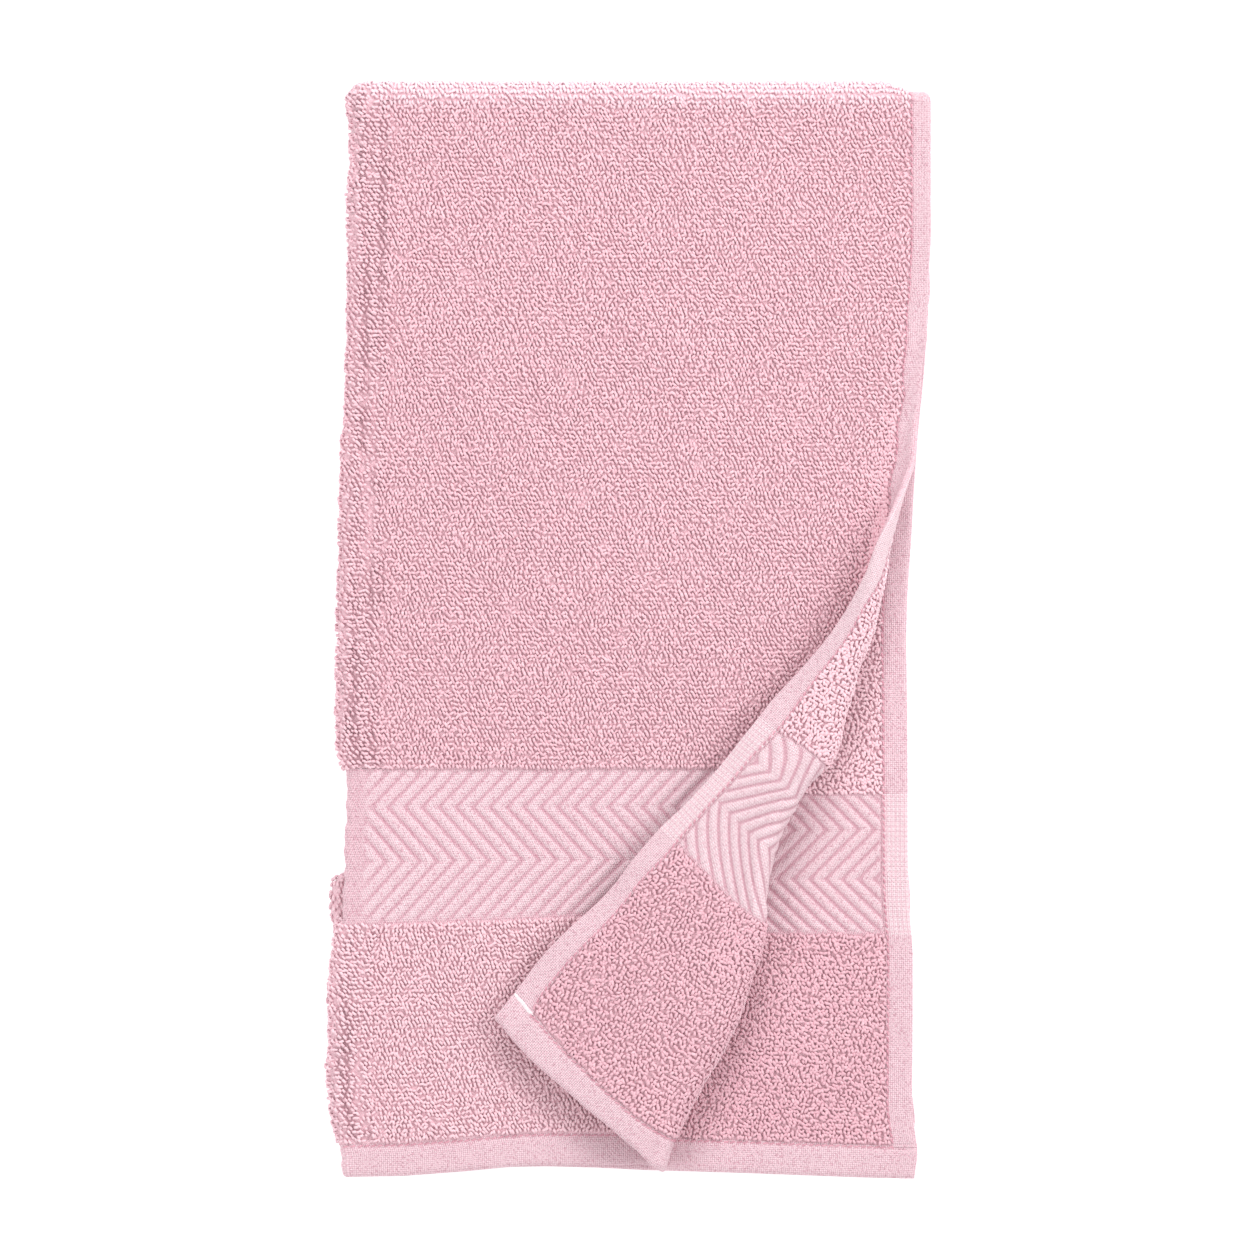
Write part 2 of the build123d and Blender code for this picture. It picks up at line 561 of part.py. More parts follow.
with BuildPart() as corner_side_seam:
    with BuildSketch(FLAP.offset((TERRY + HEM) / 2)):
        with BuildLine():
            a, b = HEM_SIDE - SEAM_IN - SEAM_W, HEM_SIDE - SEAM_IN
            Polyline(*flap_pts([flap_point(C_HEM, a), flap_point(C_HEM, b),
                                flap_point(C_TOP - 9.0, b), flap_point(C_TOP - 9.0, a)]),
                     close=True)
        make_face()
    extrude(amount=SEAM_H)
corner_side_seam.part.label = "corner_side_seam"

with BuildPart() as corner_end_seam:
    with BuildSketch(FLAP.offset((TERRY + HEM) / 2)):
        with BuildLine():
            a, b = C_HEM - SEAM_IN - SEAM_W, C_HEM - SEAM_IN
            v_end = meet_roll(C_HEM) - 2.0
            Polyline(*flap_pts([flap_point(a, 1.0), flap_point(a, v_end),
                                flap_point(b, v_end), flap_point(b, 1.0)]),
                     close=True)
        make_face()
    extrude(amount=SEAM_H)
corner_end_seam.part.label = "corner_end_seam"

# ================================ write the parts ================================
export_step(back_leaf_terry.part, "parts/back_leaf_terry.step")
export_step(back_leaf_border.part, "parts/back_leaf_border.step")
export_step(back_leaf_end_terry.part, "parts/back_leaf_end_terry.step")
export_step(back_leaf_end_hem.part, "parts/back_leaf_end_hem.step")
export_step(back_leaf_side_hem.part, "parts/back_leaf_side_hem.step")
export_step(inner_leaf_terry.part, "parts/inner_leaf_terry.step")
export_step(inner_leaf_border.part, "parts/inner_leaf_border.step")
export_step(inner_leaf_end_terry.part, "parts/inner_leaf_end_terry.step")
export_step(inner_leaf_end_hem.part, "parts/inner_leaf_end_hem.step")
export_step(inner_leaf_side_hem.part, "parts/inner_leaf_side_hem.step")
export_step(back_left_fold.part, "parts/back_left_fold.step")
export_step(outer_top_fold_lower.part, "parts/outer_top_fold_lower.step")
export_step(inner_top_fold_lower.part, "parts/inner_top_fold_lower.step")
export_step(second_leaf_terry.part, "parts/second_leaf_terry.step")
export_step(second_leaf_border.part, "parts/second_leaf_border.step")
export_step(second_leaf_end_terry.part, "parts/second_leaf_end_terry.step")
export_step(second_leaf_end_hem.part, "parts/second_leaf_end_hem.step")
export_step(second_leaf_side_hem.part, "parts/second_leaf_side_hem.step")
export_step(front_leaf_terry.part, "parts/front_leaf_terry.step")
export_step(front_leaf_border.part, "parts/front_leaf_border.step")
export_step(front_leaf_end_terry.part, "parts/front_leaf_end_terry.step")
export_step(front_leaf_end_hem.part, "parts/front_leaf_end_hem.step")
export_step(front_leaf_side_hem.part, "parts/front_leaf_side_hem.step")
export_step(front_left_fold.part, "parts/front_left_fold.step")
export_step(outer_top_fold_upper.part, "parts/outer_top_fold_upper.step")
export_step(inner_top_fold_upper.part, "parts/inner_top_fold_upper.step")
export_step(corner_roll_lower.part, "parts/corner_roll_lower.step")
export_step(corner_roll_upper.part, "parts/corner_roll_upper.step")
export_step(corner_end_hem.part, "parts/corner_end_hem.step")
export_step(corner_end_terry.part, "parts/corner_end_terry.step")
export_step(corner_border.part, "parts/corner_border.step")
export_step(corner_upper_terry.part, "parts/corner_upper_terry.step")
export_step(corner_side_hem.part, "parts/corner_side_hem.step")
export_step(back_leaf_side_seam.part, "parts/back_leaf_side_seam.step")
export_step(inner_leaf_side_seam.part, "parts/inner_leaf_side_seam.step")
export_step(back_end_seam.part, "parts/back_end_seam.step")
export_step(second_leaf_side_seam.part, "parts/second_leaf_side_seam.step")
export_step(second_leaf_end_seam.part, "parts/second_leaf_end_seam.step")
export_step(front_leaf_side_seam.part, "parts/front_leaf_side_seam.step")
export_step(front_leaf_end_seam.part, "parts/front_leaf_end_seam.step")
export_step(corner_side_seam.part, "parts/corner_side_seam.step")
export_step(corner_end_seam.part, "parts/corner_end_seam.step")

print("crosswise fold axis through y", TOP + GAP / 2, "z", Z_CROSS)
print("crease axis through", CREASE_X + cy * GAP / 2, CREASE_Y - cx * GAP / 2,
      "z", Z_ROLL_UP, "direction", cx, cy)
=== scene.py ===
"""Folded pink cotton terry hand towel with one turned corner.

All lengths below are millimetres until put() turns them into metres. The cloth is one
parametric surface: a runs across the towel (0 on the lengthwise fold, +203 the outer
leaves' free edge, -203 the inner leaves'), b runs along it (0 on the crosswise fold,
positive on the front half, negative on the back half)."""

import math

import bpy
import numpy as np
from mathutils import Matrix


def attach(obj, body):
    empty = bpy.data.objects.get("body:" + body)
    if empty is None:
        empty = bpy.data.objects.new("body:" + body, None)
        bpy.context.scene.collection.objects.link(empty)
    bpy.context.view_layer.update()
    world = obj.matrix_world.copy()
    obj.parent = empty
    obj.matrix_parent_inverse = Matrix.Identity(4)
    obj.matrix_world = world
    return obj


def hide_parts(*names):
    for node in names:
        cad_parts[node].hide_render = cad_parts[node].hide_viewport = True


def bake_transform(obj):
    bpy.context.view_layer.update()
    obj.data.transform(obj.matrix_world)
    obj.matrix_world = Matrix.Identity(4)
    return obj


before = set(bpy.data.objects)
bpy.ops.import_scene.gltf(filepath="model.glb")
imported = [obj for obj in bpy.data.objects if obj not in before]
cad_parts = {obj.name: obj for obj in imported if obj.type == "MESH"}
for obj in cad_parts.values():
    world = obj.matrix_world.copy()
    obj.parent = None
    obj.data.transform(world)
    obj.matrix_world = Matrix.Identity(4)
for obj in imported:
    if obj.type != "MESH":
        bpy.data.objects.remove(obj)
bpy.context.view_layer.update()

PI = math.pi
# ------------------------------------------------------------------ sizes, as the frame has them
Y0, ZC, SP, RHO = 183.3, 8.15, 4.15, 2.0
FH, BQ = PI * RHO / 2, PI * SP / 2
AF, T_TOP = 203.0, 374.0
SIDE_HEM = 9.4
T_HEM, T_B0, T_B1 = 11.5, 88.0, 138.5
TB = [0.0, T_HEM, T_B0, T_B1, T_TOP]
YB = {
    1: [-190.5, -179.0, -101.2, -48.6, Y0],
    2: [-191.3, -179.8, -106.4, -57.5, Y0],
    3: [-180.0, -168.5, -88.0, -38.0, Y0],
    4: [-179.0, -167.5, -86.6, -36.6, Y0],
}
XR1 = 105.0
A_HEM = AF - SIDE_HEM * (AF - FH) / 200.5
# corner roll
RR, ALPHA = 6.3, math.radians(3.2)
ANG = math.radians(19.4)
C_DIR = np.array([math.sin(ANG), math.cos(ANG)])
N_DIR = np.array([C_DIR[1], -C_DIR[0]])
X_APEX = 46.5
D_TOP = PI * RR


def sstep(x):
    x = np.clip(x, 0.0, 1.0)
    return x * x * (3 - 2 * x)


def table_fn(points, soft=3.0):
    """Piecewise-linear table, smoothed over a few millimetres."""
    ts, vs = np.array([p[0] for p in points], float), np.array([p[1] for p in points], float)
    fine = np.arange(-60, 460, 0.5)
    v = np.interp(fine, ts, vs)
    k = np.exp(-0.5 * (np.arange(-24, 25) * 0.5 / soft) ** 2)
    k /= k.sum()
    v = np.convolve(np.pad(v, 24, mode="edge"), k, mode="valid")
    return lambda t: np.interp(t, fine, v)


xf_front = table_fn(
    [(0, -96.0), (9, -96.1), (12.5, -98.2), (20, -99.4), (26, -100.9), (38, -101.1), (50, -100.7), (60, -100.2), (74, -100.2),
     (80, -99.0), (85, -98.2), (88, -96.4), (98, -96.2), (108, -95.9), (118, -95.2), (134, -94.8), (138, -95.2), (140.5, -96.6),
     (145, -97.6), (157, -98.3), (165, -97.8), (187, -98.0), (205, -97.3), (244, -96.5), (256, -95.6), (270, -94.9), (280, -94.4),
     (310, -93.9), (330, -93.9), (338, -94.4), (346, -93.7), (361, -92.8), (367, -93.6), (374, -94.8)], 1.6)
xf_back = table_fn(
    [(0, -97.6), (11, -98.0), (22, -100.6), (50, -101.4), (58, -101.4), (64, -99.8), (71, -99.2), (76, -100.7), (87.6, -100.8),
     (88.8, -95.2), (134, -95.0), (142, -96.2), (165, -97.0), (244, -96.0), (270, -94.6), (330, -93.7), (338, -94.2),
     (346, -93.6), (361, -92.8), (367, -93.6), (374, -94.8)], 0.8)
xr2 = table_fn([(-60, 99.2), (1, 99.3), (9, 101.0), (15, 99.8), (24, 98.6), (60, 98.9), (84, 98.9), (96, 97.7), (110, 97.2), (170, 97.0),
                (190, 96.6), (206, 97.0), (225, 98.4), (243, 99.4), (262, 100.8), (277, 102.4), (300, 104.2), (374, 104.6)], 3.0)


def und(x, y):
    """Slow rise and fall of the lying cloth, -1..1."""
    return (
        0.42 * np.sin(x * 0.031 + 1.3) * np.cos(y * 0.024 - 0.6)
        + 0.30 * np.sin(x * 0.055 - y * 0.041 + 2.0)
        + 0.20 * np.sin(x * 0.083 + y * 0.067 + 0.4)
        + 0.10 * np.sin(x * 0.16 - 1.0) * np.sin(y * 0.14 + 0.8)
    )


def plan_d(x, y):
    """Flat distance past the line where the corner leaves the front leaf."""
    return (x - X_APEX) * N_DIR[0] + (y + 100.0) * N_DIR[1] + RR


def roll(x, y):
    d = plan_d(x, y)
    q = (x - X_APEX) * C_DIR[0] + (y + 100.0) * C_DIR[1]
    dc = np.clip(d, 0, D_TOP)
    p = np.where(d < 0, d - RR, np.where(d < D_TOP, -RR + RR * np.sin(dc / RR), -RR - (d - D_TOP) * math.cos(ALPHA)))
    z = np.where(d < 0, 0.0, np.where(d < D_TOP, RR * (1 - np.cos(dc / RR)), 2 * RR - (d - D_TOP) * math.sin(ALPHA)))
    return X_APEX + p * N_DIR[0] + q * C_DIR[0], -100.0 + p * N_DIR[1] + q * C_DIR[1], z, d


# ------------------------------------------------------------------ how the turned corner lies
def arc(points):
    p = np.array(points, float)
    return np.concatenate([[0], np.cumsum(np.hypot(*np.diff(p, axis=0).T))])


CORNER = (-46.4, -134.6)
SIDE = [CORNER, (-41.1, -127.6), (-36.3, -122.0), (-29.3, -112.7), (-18.6, -101.9), (-11.6, -95.7), (-4.3, -88.0),
        (4.0, -76.9), (10.9, -68.9), (18.2, -62.3), (27.3, -52.6), (35.2, -43.2), (43.6, -32.5), (49.5, -24.8),
        (59.2, -14.4), (67.9, -4.3), (76.9, 9.2), (82.5, 20.3), (89.1, 36.6), (96.0, 50.9), (98.8, 57.8)]
SIDE_IN = [(-32.1, -129.7), (-22.0, -117.5), (-15.1, -109.9), (-6.4, -101.2), (4.0, -88.0), (13.4, -78.8), (20.3, -70.3),
           (28.0, -61.6), (35.9, -53.3), (43.6, -43.9), (50.9, -36.3), (59.9, -24.8), (66.5, -15.8), (72.0, -8.9),
           (78.3, 0.5), (81.8, 8.5), (87.0, 18.2), (88.4, 26.2)]
END = [CORNER, (-36.3, -146.7), (-22.0, -159.5), (-7.8, -171.4), (3.3, -180.7), (7.4, -185.4), (9.8, -186.8)]
END_IN = [(-33.5, -133.9), (-26.9, -140.5), (-17.9, -149.5), (-7.8, -159.5), (3.3, -169.3), (9.5, -173.1)]
CREASE = [(89.1, 15.5, 2.0), (85.6, -1.2, 2.0), (80.4, -13.0, 2.0), (77.6, -24.8, 2.0), (74.8, -31.8, 2.0), (70.0, -47.4, 2.0),
          (62.0, -52.2, 0.6), (58.2, -60.8, 0.6), (52.8, -69.4, 0.6), (49.1, -81.3, 0.6), (46.2, -93.2, 0.6),
          (47.7, -102.6, 2.0), (46.4, -112.0, 2.0), (42.2, -124.1, 2.0), (38.7, -135.9, 2.0), (33.2, -146.7, 2.0),
          (26.2, -158.2, 2.0), (20.6, -168.6, 2.0), (15.4, -177.3, 1.2), (12.2, -184.4, 0.6)]


def landmarks():
    src, dst, wt = [], [], []

    def add(s, d, w=1.0):
        src.append(s)
        dst.append(d)
        wt.append(w)

    sp, sa = np.array(SIDE), arc(SIDE)
    k = (57.8 + 190.5) / sa[-1]
    for p, s in zip(SIDE, sa):
        add((XR1, -190.5 + s * k), p)

    def project(p, curve, ca):
        best = (1e9, 0)
        for i in range(len(curve) - 1):
            e = curve[i + 1] - curve[i]
            f = np.clip(np.dot(p - curve[i], e) / np.dot(e, e), 0, 1)
            g = np.hypot(*(p - curve[i] - f * e))
            if g < best[0]:
                best = (g, ca[i] + f * (ca[i + 1] - ca[i]))
        return best[1]

    for p in SIDE_IN:
        add((XR1 - SIDE_HEM, -190.5 + k * project(np.array(p), sp, sa)), p)
    ep, ea = np.array(END), arc(END)
    for p, s in zip(END[1:], ea[1:]):
        add((XR1 - s * 1.0, -190.5), p)
    for p in END_IN:
        add((XR1 - project(np.array(p), ep, ea), -179.0), p)
    # the woven band's two edges on the turned corner
    add((75.5, -101.2), (32.5, -90.8), 0.6)
    add((56.0, -101.2), (46.6, -103.0), 0.5)
    add((84.0, -48.6), (64.0, -42.5), 0.6)
    for x, y, o in CREASE:
        e = np.array([x, y]) - o * N_DIR
        q = (e[0] - X_APEX) * C_DIR[0] + (e[1] + 100.0) * C_DIR[1]
        f = np.array([X_APEX, -100.0]) + q * C_DIR + (PI * RR / 2 - RR) * N_DIR
        add(tuple(f), tuple(e), 0.6)
    for y, xi in ((148.8, 97.4), (120, 96.0), (103.6, 95.3), (86.3, 94.2), (68.9, 92.4), (51.6, 90.3)):
        add((XR1 - SIDE_HEM, y), (xi, y), 0.7)
    for y, xo in ((150, 104.6), (125, 104.2), (110, 103.4), (96, 102.4), (82.8, 101.2), (72.4, 100.0)):
        add((XR1, y), (xo, y), 0.7)
    for q in np.arange(-100, 300, 18.0):
        for off in (-14.0, -22.0):
            f = np.array([X_APEX, -100.0]) + q * C_DIR + off * N_DIR
            add(tuple(f), None, 1.0)
    return np.array(src, float), dst, np.array(wt)


def tps_fit(src, val, wt, lam=18.0):
    n = len(src)
    r2 = ((src[:, None] - src[None]) ** 2).sum(2)
    K = 0.5 * r2 * np.log(r2 + 1e-9)
    K[np.arange(n), np.arange(n)] = 0
    K = K + np.diag(lam / wt)
    Pm = np.c_[np.ones(n), src]
    A = np.zeros((n + 3, n + 3))
    A[:n, :n] = K
    A[:n, n:] = Pm
    A[n:, :n] = Pm.T
    rhs = np.zeros((n + 3, 2))
    rhs[:n] = val
    return np.linalg.solve(A, rhs)


_src, _dst, _wt = landmarks()
_bx, _by, _bz, _bd = roll(_src[:, 0], _src[:, 1])
_val = np.array([[0.0, 0.0] if p is None else [p[0] - bx, p[1] - by] for p, bx, by in zip(_dst, _bx, _by)])
_coef = tps_fit(_src, _val, _wt)


def residual(x, y):
    out = np.zeros((len(x), 2))
    for i in range(0, len(x), 40000):
        q = np.c_[x[i:i + 40000], y[i:i + 40000]]
        r2 = ((q[:, None] - _src[None]) ** 2).sum(2)
        U = 0.5 * r2 * np.log(r2 + 1e-9)
        out[i:i + 40000] = U @ _coef[:-3] + np.c_[np.ones(len(q)), q] @ _coef[-3:]
    return out


# ------------------------------------------------------------------ the cloth's middle surface
def edge_lift(x, t, second):
    """The end hems don't lie on one straight line: how far each is pulled up from it."""
    px1 = np.interp(x, [-99.5, -78.5, -57.5, -43.2, -34.2, 4.0, 22.0], [0.0, 0.4, 2.0, 3.4, 4.1, 4.1, 0.0])
    px2 = np.interp(x, [-99.5, -78.0, -62.0, -46.0, -29.0, -11.6, 5.8, 23.1, 42.2, 76.9, 96.0], [0.3, 1.4, 3.0, 4.0, 4.3, 3.9, 3.0, 2.5, 1.9, 0.6, 0.0])
    return np.where(second, px2, px1) * sstep(1 - t / 95.0)


def flat_plan(a, b):
    """Where (a, b) lies in plan before the corner is turned, and its height."""
    aa, bb = np.abs(a), np.abs(b)
    front = b >= 0
    t = T_TOP - np.maximum(bb - BQ, 0)
    th = np.clip(b / SP, -PI / 2, PI / 2)
    fo = sstep((a + 30.0) / 24.0)
    mix = (1 + np.sin(th)) / 2
    ext = lambda k: np.interp(t, TB, YB[k]) + np.minimum(t, 0)
    y = np.where(front, ext(2) + (ext(1) - ext(2)) * fo, ext(3) + (ext(4) - ext(3)) * fo)
    xf = np.where(front, xf_front(t), xf_back(t)) + 0.9 * np.cos(th)
    xr_i = xr2(t) - 0.7 * (1 - mix)
    xr_o = (xr_i - 0.5) * (1 - mix) + XR1 * mix
    xr = np.where(a > 0, xr_o, xr_i) - 0.6 * np.cos(th)
    phi = np.clip(a / RHO, -PI / 2, PI / 2)
    x = np.where(aa < FH, xf - RHO * np.cos(phi), xf + (aa - FH) / (AF - FH) * (xr - xf))
    x = x + np.where(a > 0, 2.1 * mix * sstep((t - 285) / 45) * np.interp(a, [A_HEM - 40, A_HEM, AF], [0, 1, 0]), 0.0)
    y = y + np.where(front, edge_lift(x, t, a < 0), 0.0)
    tilt = np.interp(x, [-99, -88, -40, -18, 30], [-1.7, -1.6, 0.0, 0.9, 0.0])
    y = y + np.where(front & (a > 0), tilt * np.exp(-((t - T_B0) / 18) ** 2), 0.0)
    h = RHO * np.sin(phi)
    wt = sstep((-a - FH) / 8) * (1 - sstep((aa - (AF - 24)) / 9))
    rad = SP + h + wt * 2.35 * sstep((BQ + 9 - bb) / 9)
    edge = sstep((aa - (AF - 17)) / 10)
    sc = 1 - np.where(a > 0, 0.50, 0.15) * edge - np.where(a > -FH, 0.16, 0.0) * (1 - edge)
    sc = sc - 0.34 * np.exp(-((a + 0.5) / 3.8) ** 2)
    y = y + rad * np.cos(th) * sc - np.where(a > 0, 1.0, 0.0) * edge * np.cos(th)
    z = ZC + rad * np.sin(th)
    return x, y, z


PART_LINES = ((2.0, 0.5, 0.8, 0.061, 0.3), (6.4, 0.66, 1.55, 0.043, 1.9), (10.9, 0.66, 1.55, 0.031, 0.5), (15.2, 0.45, 0.6, 0.052, 2.6))
_pr = np.random.default_rng(5)
PITS = [(_pr.uniform(18, 190), _pr.uniform(BQ + 8, BQ + 225) if _pr.random() < 0.72 else _pr.uniform(BQ + 290, BQ + 355), _pr.normal(0, 0.6) + 0.4, _pr.uniform(2.0, 6.5), _pr.uniform(0.5, 1.0)) for _ in range(90)]


def partings(a, b):
    """Where the outer pile parts: uneven lines along the lengthwise fold, and short random slits.
    Returns depth 0..1 and the sideways push on the loops beside them."""
    part, push = np.zeros(len(a)), np.zeros(len(a))
    near = np.flatnonzero((a > -3.2) & (a < 20))
    if len(near):
        an, bn = a[near], b[near]
        pn, qn = np.zeros(len(near)), np.zeros(len(near))
        for k, (a_k, w_k, s_k, f1, p1) in enumerate(PART_LINES):
            line = a_k + 0.6 * np.sin(bn * f1 + p1) + 0.35 * np.sin(bn * f1 * 4.3 + k) + 0.28 * np.sin(bn * 0.61 + 2 * k)
            s = s_k * np.clip(0.62 + 0.55 * np.sin(bn * 0.037 * (1 + 0.3 * k) + 2.1 * k + 0.8), 0.25, 1)
            dd = an - line
            pn = np.maximum(pn, s * np.exp(-(dd / w_k) ** 2))
            qn = qn + s * np.sign(dd) * np.exp(-(np.abs(dd) / 1.3) ** 2) * 0.55
        part[near], push[near] = pn * (np.abs(bn) > 2.0), qn
    for pa, pb, ang, ln, st in PITS:
        i = np.flatnonzero((np.abs(a - pa) < ln + 4) & (np.abs(b - pb) < ln + 4))
        if len(i):
            ca, sa = math.sin(ang), math.cos(ang)
            along, across = (a[i] - pa) * ca + (b[i] - pb) * sa, (a[i] - pa) * sa - (b[i] - pb) * ca
            across = across - 0.5 * np.sin(along * 0.9 + pa)
            s = st * np.exp(-(along / (ln * 0.6)) ** 4) * np.exp(-(across / 0.75) ** 2)
            part[i] = np.maximum(part[i], s)
    return np.clip(part, 0, 1), push


def level(a, b):
    """How much of the slow rise and fall a layer has: bottom none, top all."""
    fo = sstep((a / FH + 1) / 2)
    fr = sstep((b / BQ + 1) / 2)
    return fr * (0.62 + 0.38 * fo) + (1 - fr) * (0.30 - 0.26 * fo)


def M0(a, b):
    a, b = np.asarray(a, float).ravel(), np.asarray(b, float).ravel()
    x, y, z = flat_plan(a, b)
    lev = level(a, b) * (1 - 0.8 * sstep((BQ + 10 - np.abs(b)) / 10))
    dz = 0.75 * und(x, y) * lev
    on = (a > FH) & (b > BQ * 0.9)
    if on.any():
        i = np.flatnonzero(on)
        rx, ry, rz, d = roll(x[i], y[i])
        near = d > -24
        j = i[near]
        if len(j):
            res = residual(x[j], y[j]) * sstep((d[near] + 24) / 12)[:, None]
            fx, fy, dd = x[j].copy(), y[j].copy(), d[near]
            x[j], y[j], z[j] = rx[near] + res[:, 0], ry[near] + res[:, 1], z[j] + rz[near]
            fade = 1 - sstep((dd + 8) / 10)
            tip = sstep((dd - D_TOP - 3) / 22)
            s_edge = sstep((fx - 84) / 21)
            wave = 0.55 * np.sin(fy * 0.115 + 0.7) + 0.35 * np.sin(fy * 0.19 + fx * 0.05) + 0.2 * np.sin(fx * 0.21 + 1.1)
            dz[j] = dz[j] * fade + tip * (0.55 * wave * (0.5 + 0.9 * s_edge) + 0.4)
    # the leaf itself dips where its pile parts beside the fold, and bulges between
    m = np.flatnonzero((a > -3.2) & (a < 22) & (np.abs(b) > BQ * 0.3))
    if len(m):
        pt, _ = partings(a[m], b[m])
        rib = sstep((a[m] + 1) / 3) * (1 - sstep((a[m] - 12) / 8))
        t_here = T_TOP + BQ - np.abs(b[m])
        cloth = 1 - sstep((t_here - (T_B0 - 2)) / 3) * (1 - sstep((t_here - (T_B1 - 1)) / 3))
        cloth = cloth * sstep((t_here - T_HEM) / 3)
        dz[m] += np.where(b[m] > 0, 1.0, -0.0) * rib * cloth * (0.25 - 0.85 * pt)
    bump_x = (0.20 * np.sin(b * 0.23 + 0.6) + 0.20 * np.sin(b * 0.41 + 2.0) + 0.22 * np.sin(b * 0.93 + 1.5 * np.sin(b * 0.11)) + 0.12 * np.sin(b * 1.7)) * (1 - sstep((np.abs(a) - 1.0) / 5.0))
    x = x + bump_x * sstep((np.abs(b) + 1) / 5)
    z = z + dz
    return np.c_[x, y, z]


def frames(a, b, eps=0.06):
    a, b = np.asarray(a, float).ravel(), np.asarray(b, float).ravel()
    P = M0(a, b)
    ea = np.where(a > 0, -eps, eps)
    eb = np.where(b > 0, -eps, eps)
    Ta = (M0(a + ea, b) - P) / ea[:, None]
    Tb = (M0(a, b + eb) - P) / eb[:, None]
    N = np.cross(Tb, Ta)
    N /= np.linalg.norm(N, axis=1, keepdims=True) + 1e-12
    Ta /= np.linalg.norm(Ta, axis=1, keepdims=True) + 1e-12
    Tb = np.cross(Ta, N)
    return P, Ta, Tb, N


BACK, ARC, FRONT, ROLL, FLAP = range(5)


def group(a, b):
    """Body group of points: back half, crosswise fold, front half, corner roll, turned corner."""
    g = np.where(b < -BQ, BACK, np.where(b < BQ, ARC, FRONT))
    x, y, _ = flat_plan(a, b)
    d = plan_d(x, y)
    top = (a > FH) & (b >= BQ)
    return np.where(top & (d >= D_TOP), FLAP, np.where(top & (d > 0), ROLL, g)), d


# ------------------------------------------------------------------ meshes
def put(name, verts, quads, mat, attrs=None, smooth=True, sharp=None):
    me = bpy.data.meshes.new(name)
    v = np.ascontiguousarray(verts * 0.001, dtype=np.float32)
    me.vertices.add(len(v))
    me.vertices.foreach_set("co", v.ravel())
    k = quads.shape[1]
    me.loops.add(quads.size)
    me.loops.foreach_set("vertex_index", np.ascontiguousarray(quads, dtype=np.int32).ravel())
    me.polygons.add(len(quads))
    me.polygons.foreach_set("loop_start", np.arange(0, quads.size, k, dtype=np.int32))
    me.polygons.foreach_set("loop_total", np.full(len(quads), k, dtype=np.int32))
    me.polygons.foreach_set("use_smooth", np.full(len(quads), smooth, dtype=bool))
    for n, (kind, data) in (attrs or {}).items():
        at = me.attributes.new(n, kind, "POINT")
        at.data.foreach_set("vector" if kind == "FLOAT_VECTOR" else "value", np.ascontiguousarray(data, dtype=np.float32).ravel())
    me.update(calc_edges=True)
    if sharp is not None and len(sharp):
        ev = np.zeros(len(me.edges) * 2, dtype=np.int32)
        me.edges.foreach_get("vertices", ev)
        ev = np.sort(ev.reshape(-1, 2), axis=1).astype(np.int64)
        want = np.sort(sharp, axis=1).astype(np.int64)
        on = np.isin(ev[:, 0] * len(v) + ev[:, 1], want[:, 0] * len(v) + want[:, 1])
        at = me.attributes.get("sharp_edge") or me.attributes.new("sharp_edge", "BOOLEAN", "EDGE")
        at.data.foreach_set("value", on)
    me.materials.append(mat)
    ob = bpy.data.objects.new(name, me)
    bpy.context.scene.collection.objects.link(ob)
    return ob


BLEND_Z = {"outer": (4.0, 12.3), "inner": (5.9, 10.4), "roll": (16.2, 24.8)}
HINGE_Y = 183.0


def seat(ob, where, nodes=()):
    """Puts a piece on its body, or bakes its placement into its mesh where it spans a joint."""
    if where in ("back_half", "front_half", "turned_corner"):
        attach(ob, where)
    else:
        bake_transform(ob)
    if nodes:
        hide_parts(*nodes)
    return ob


def slab(A, B, thick, keep):
    """Closed sheet of two faces and a rim over the kept cells of a parameter grid. thick(a, b) gives
    the outer and inner half-thickness. Returns verts, quads, flat coordinates."""
    ga, gb = np.meshgrid(A, B, indexing="ij")
    na, nb = ga.shape
    P, Ta, Tb, N = frames(ga, gb)
    to, ti = thick(ga.ravel(), gb.ravel())
    top = P + N * np.reshape(to, (-1, 1))
    bot = P - N * np.reshape(ti, (-1, 1))
    idx = np.arange(na * nb).reshape(na, nb)
    q = np.stack([idx[:-1, :-1], idx[:-1, 1:], idx[1:, 1:], idx[1:, :-1]], -1).reshape(-1, 4)
    q = q[keep(ga, gb).ravel()]
    if not len(q):
        return None
    e = np.concatenate([q[:, [0, 1]], q[:, [1, 2]], q[:, [2, 3]], q[:, [3, 0]]])
    key, rev = e[:, 0].astype(np.int64) * (na * nb) + e[:, 1], e[:, 1].astype(np.int64) * (na * nb) + e[:, 0]
    rim = e[~np.isin(key, rev)]
    n = na * nb
    faces = np.concatenate([q, q[:, ::-1] + n, np.c_[rim[:, 1], rim[:, 0], rim[:, 0] + n, rim[:, 1] + n]])
    used, inv = np.unique(faces, return_inverse=True)
    verts = np.concatenate([top, bot])[used]
    flat = np.concatenate([np.c_[ga.ravel(), gb.ravel(), to], np.c_[ga.ravel(), gb.ravel(), -np.asarray(ti)]])[used]
    # a rim is soft along the cloth's own free edge and hard where one piece meets the next
    fa, ft = np.abs(ga.ravel()) > AF - 1e-3, T_TOP + BQ - np.abs(gb.ravel()) < 1e-3
    free = (fa[rim[:, 0]] & fa[rim[:, 1]]) | (ft[rim[:, 0]] & ft[rim[:, 1]])
    hard = rim[~free]
    hard = np.concatenate([hard, hard + n])
    hard = np.searchsorted(used, hard)
    return verts, inv.reshape(-1, 4), flat, hard


def cells(f):
    """Turns a per-corner group array into per-cell lowest and highest values."""
    s = [f[:-1, :-1], f[:-1, 1:], f[1:, 1:], f[1:, :-1]]
    return np.minimum.reduce(s), np.maximum.reduce(s)


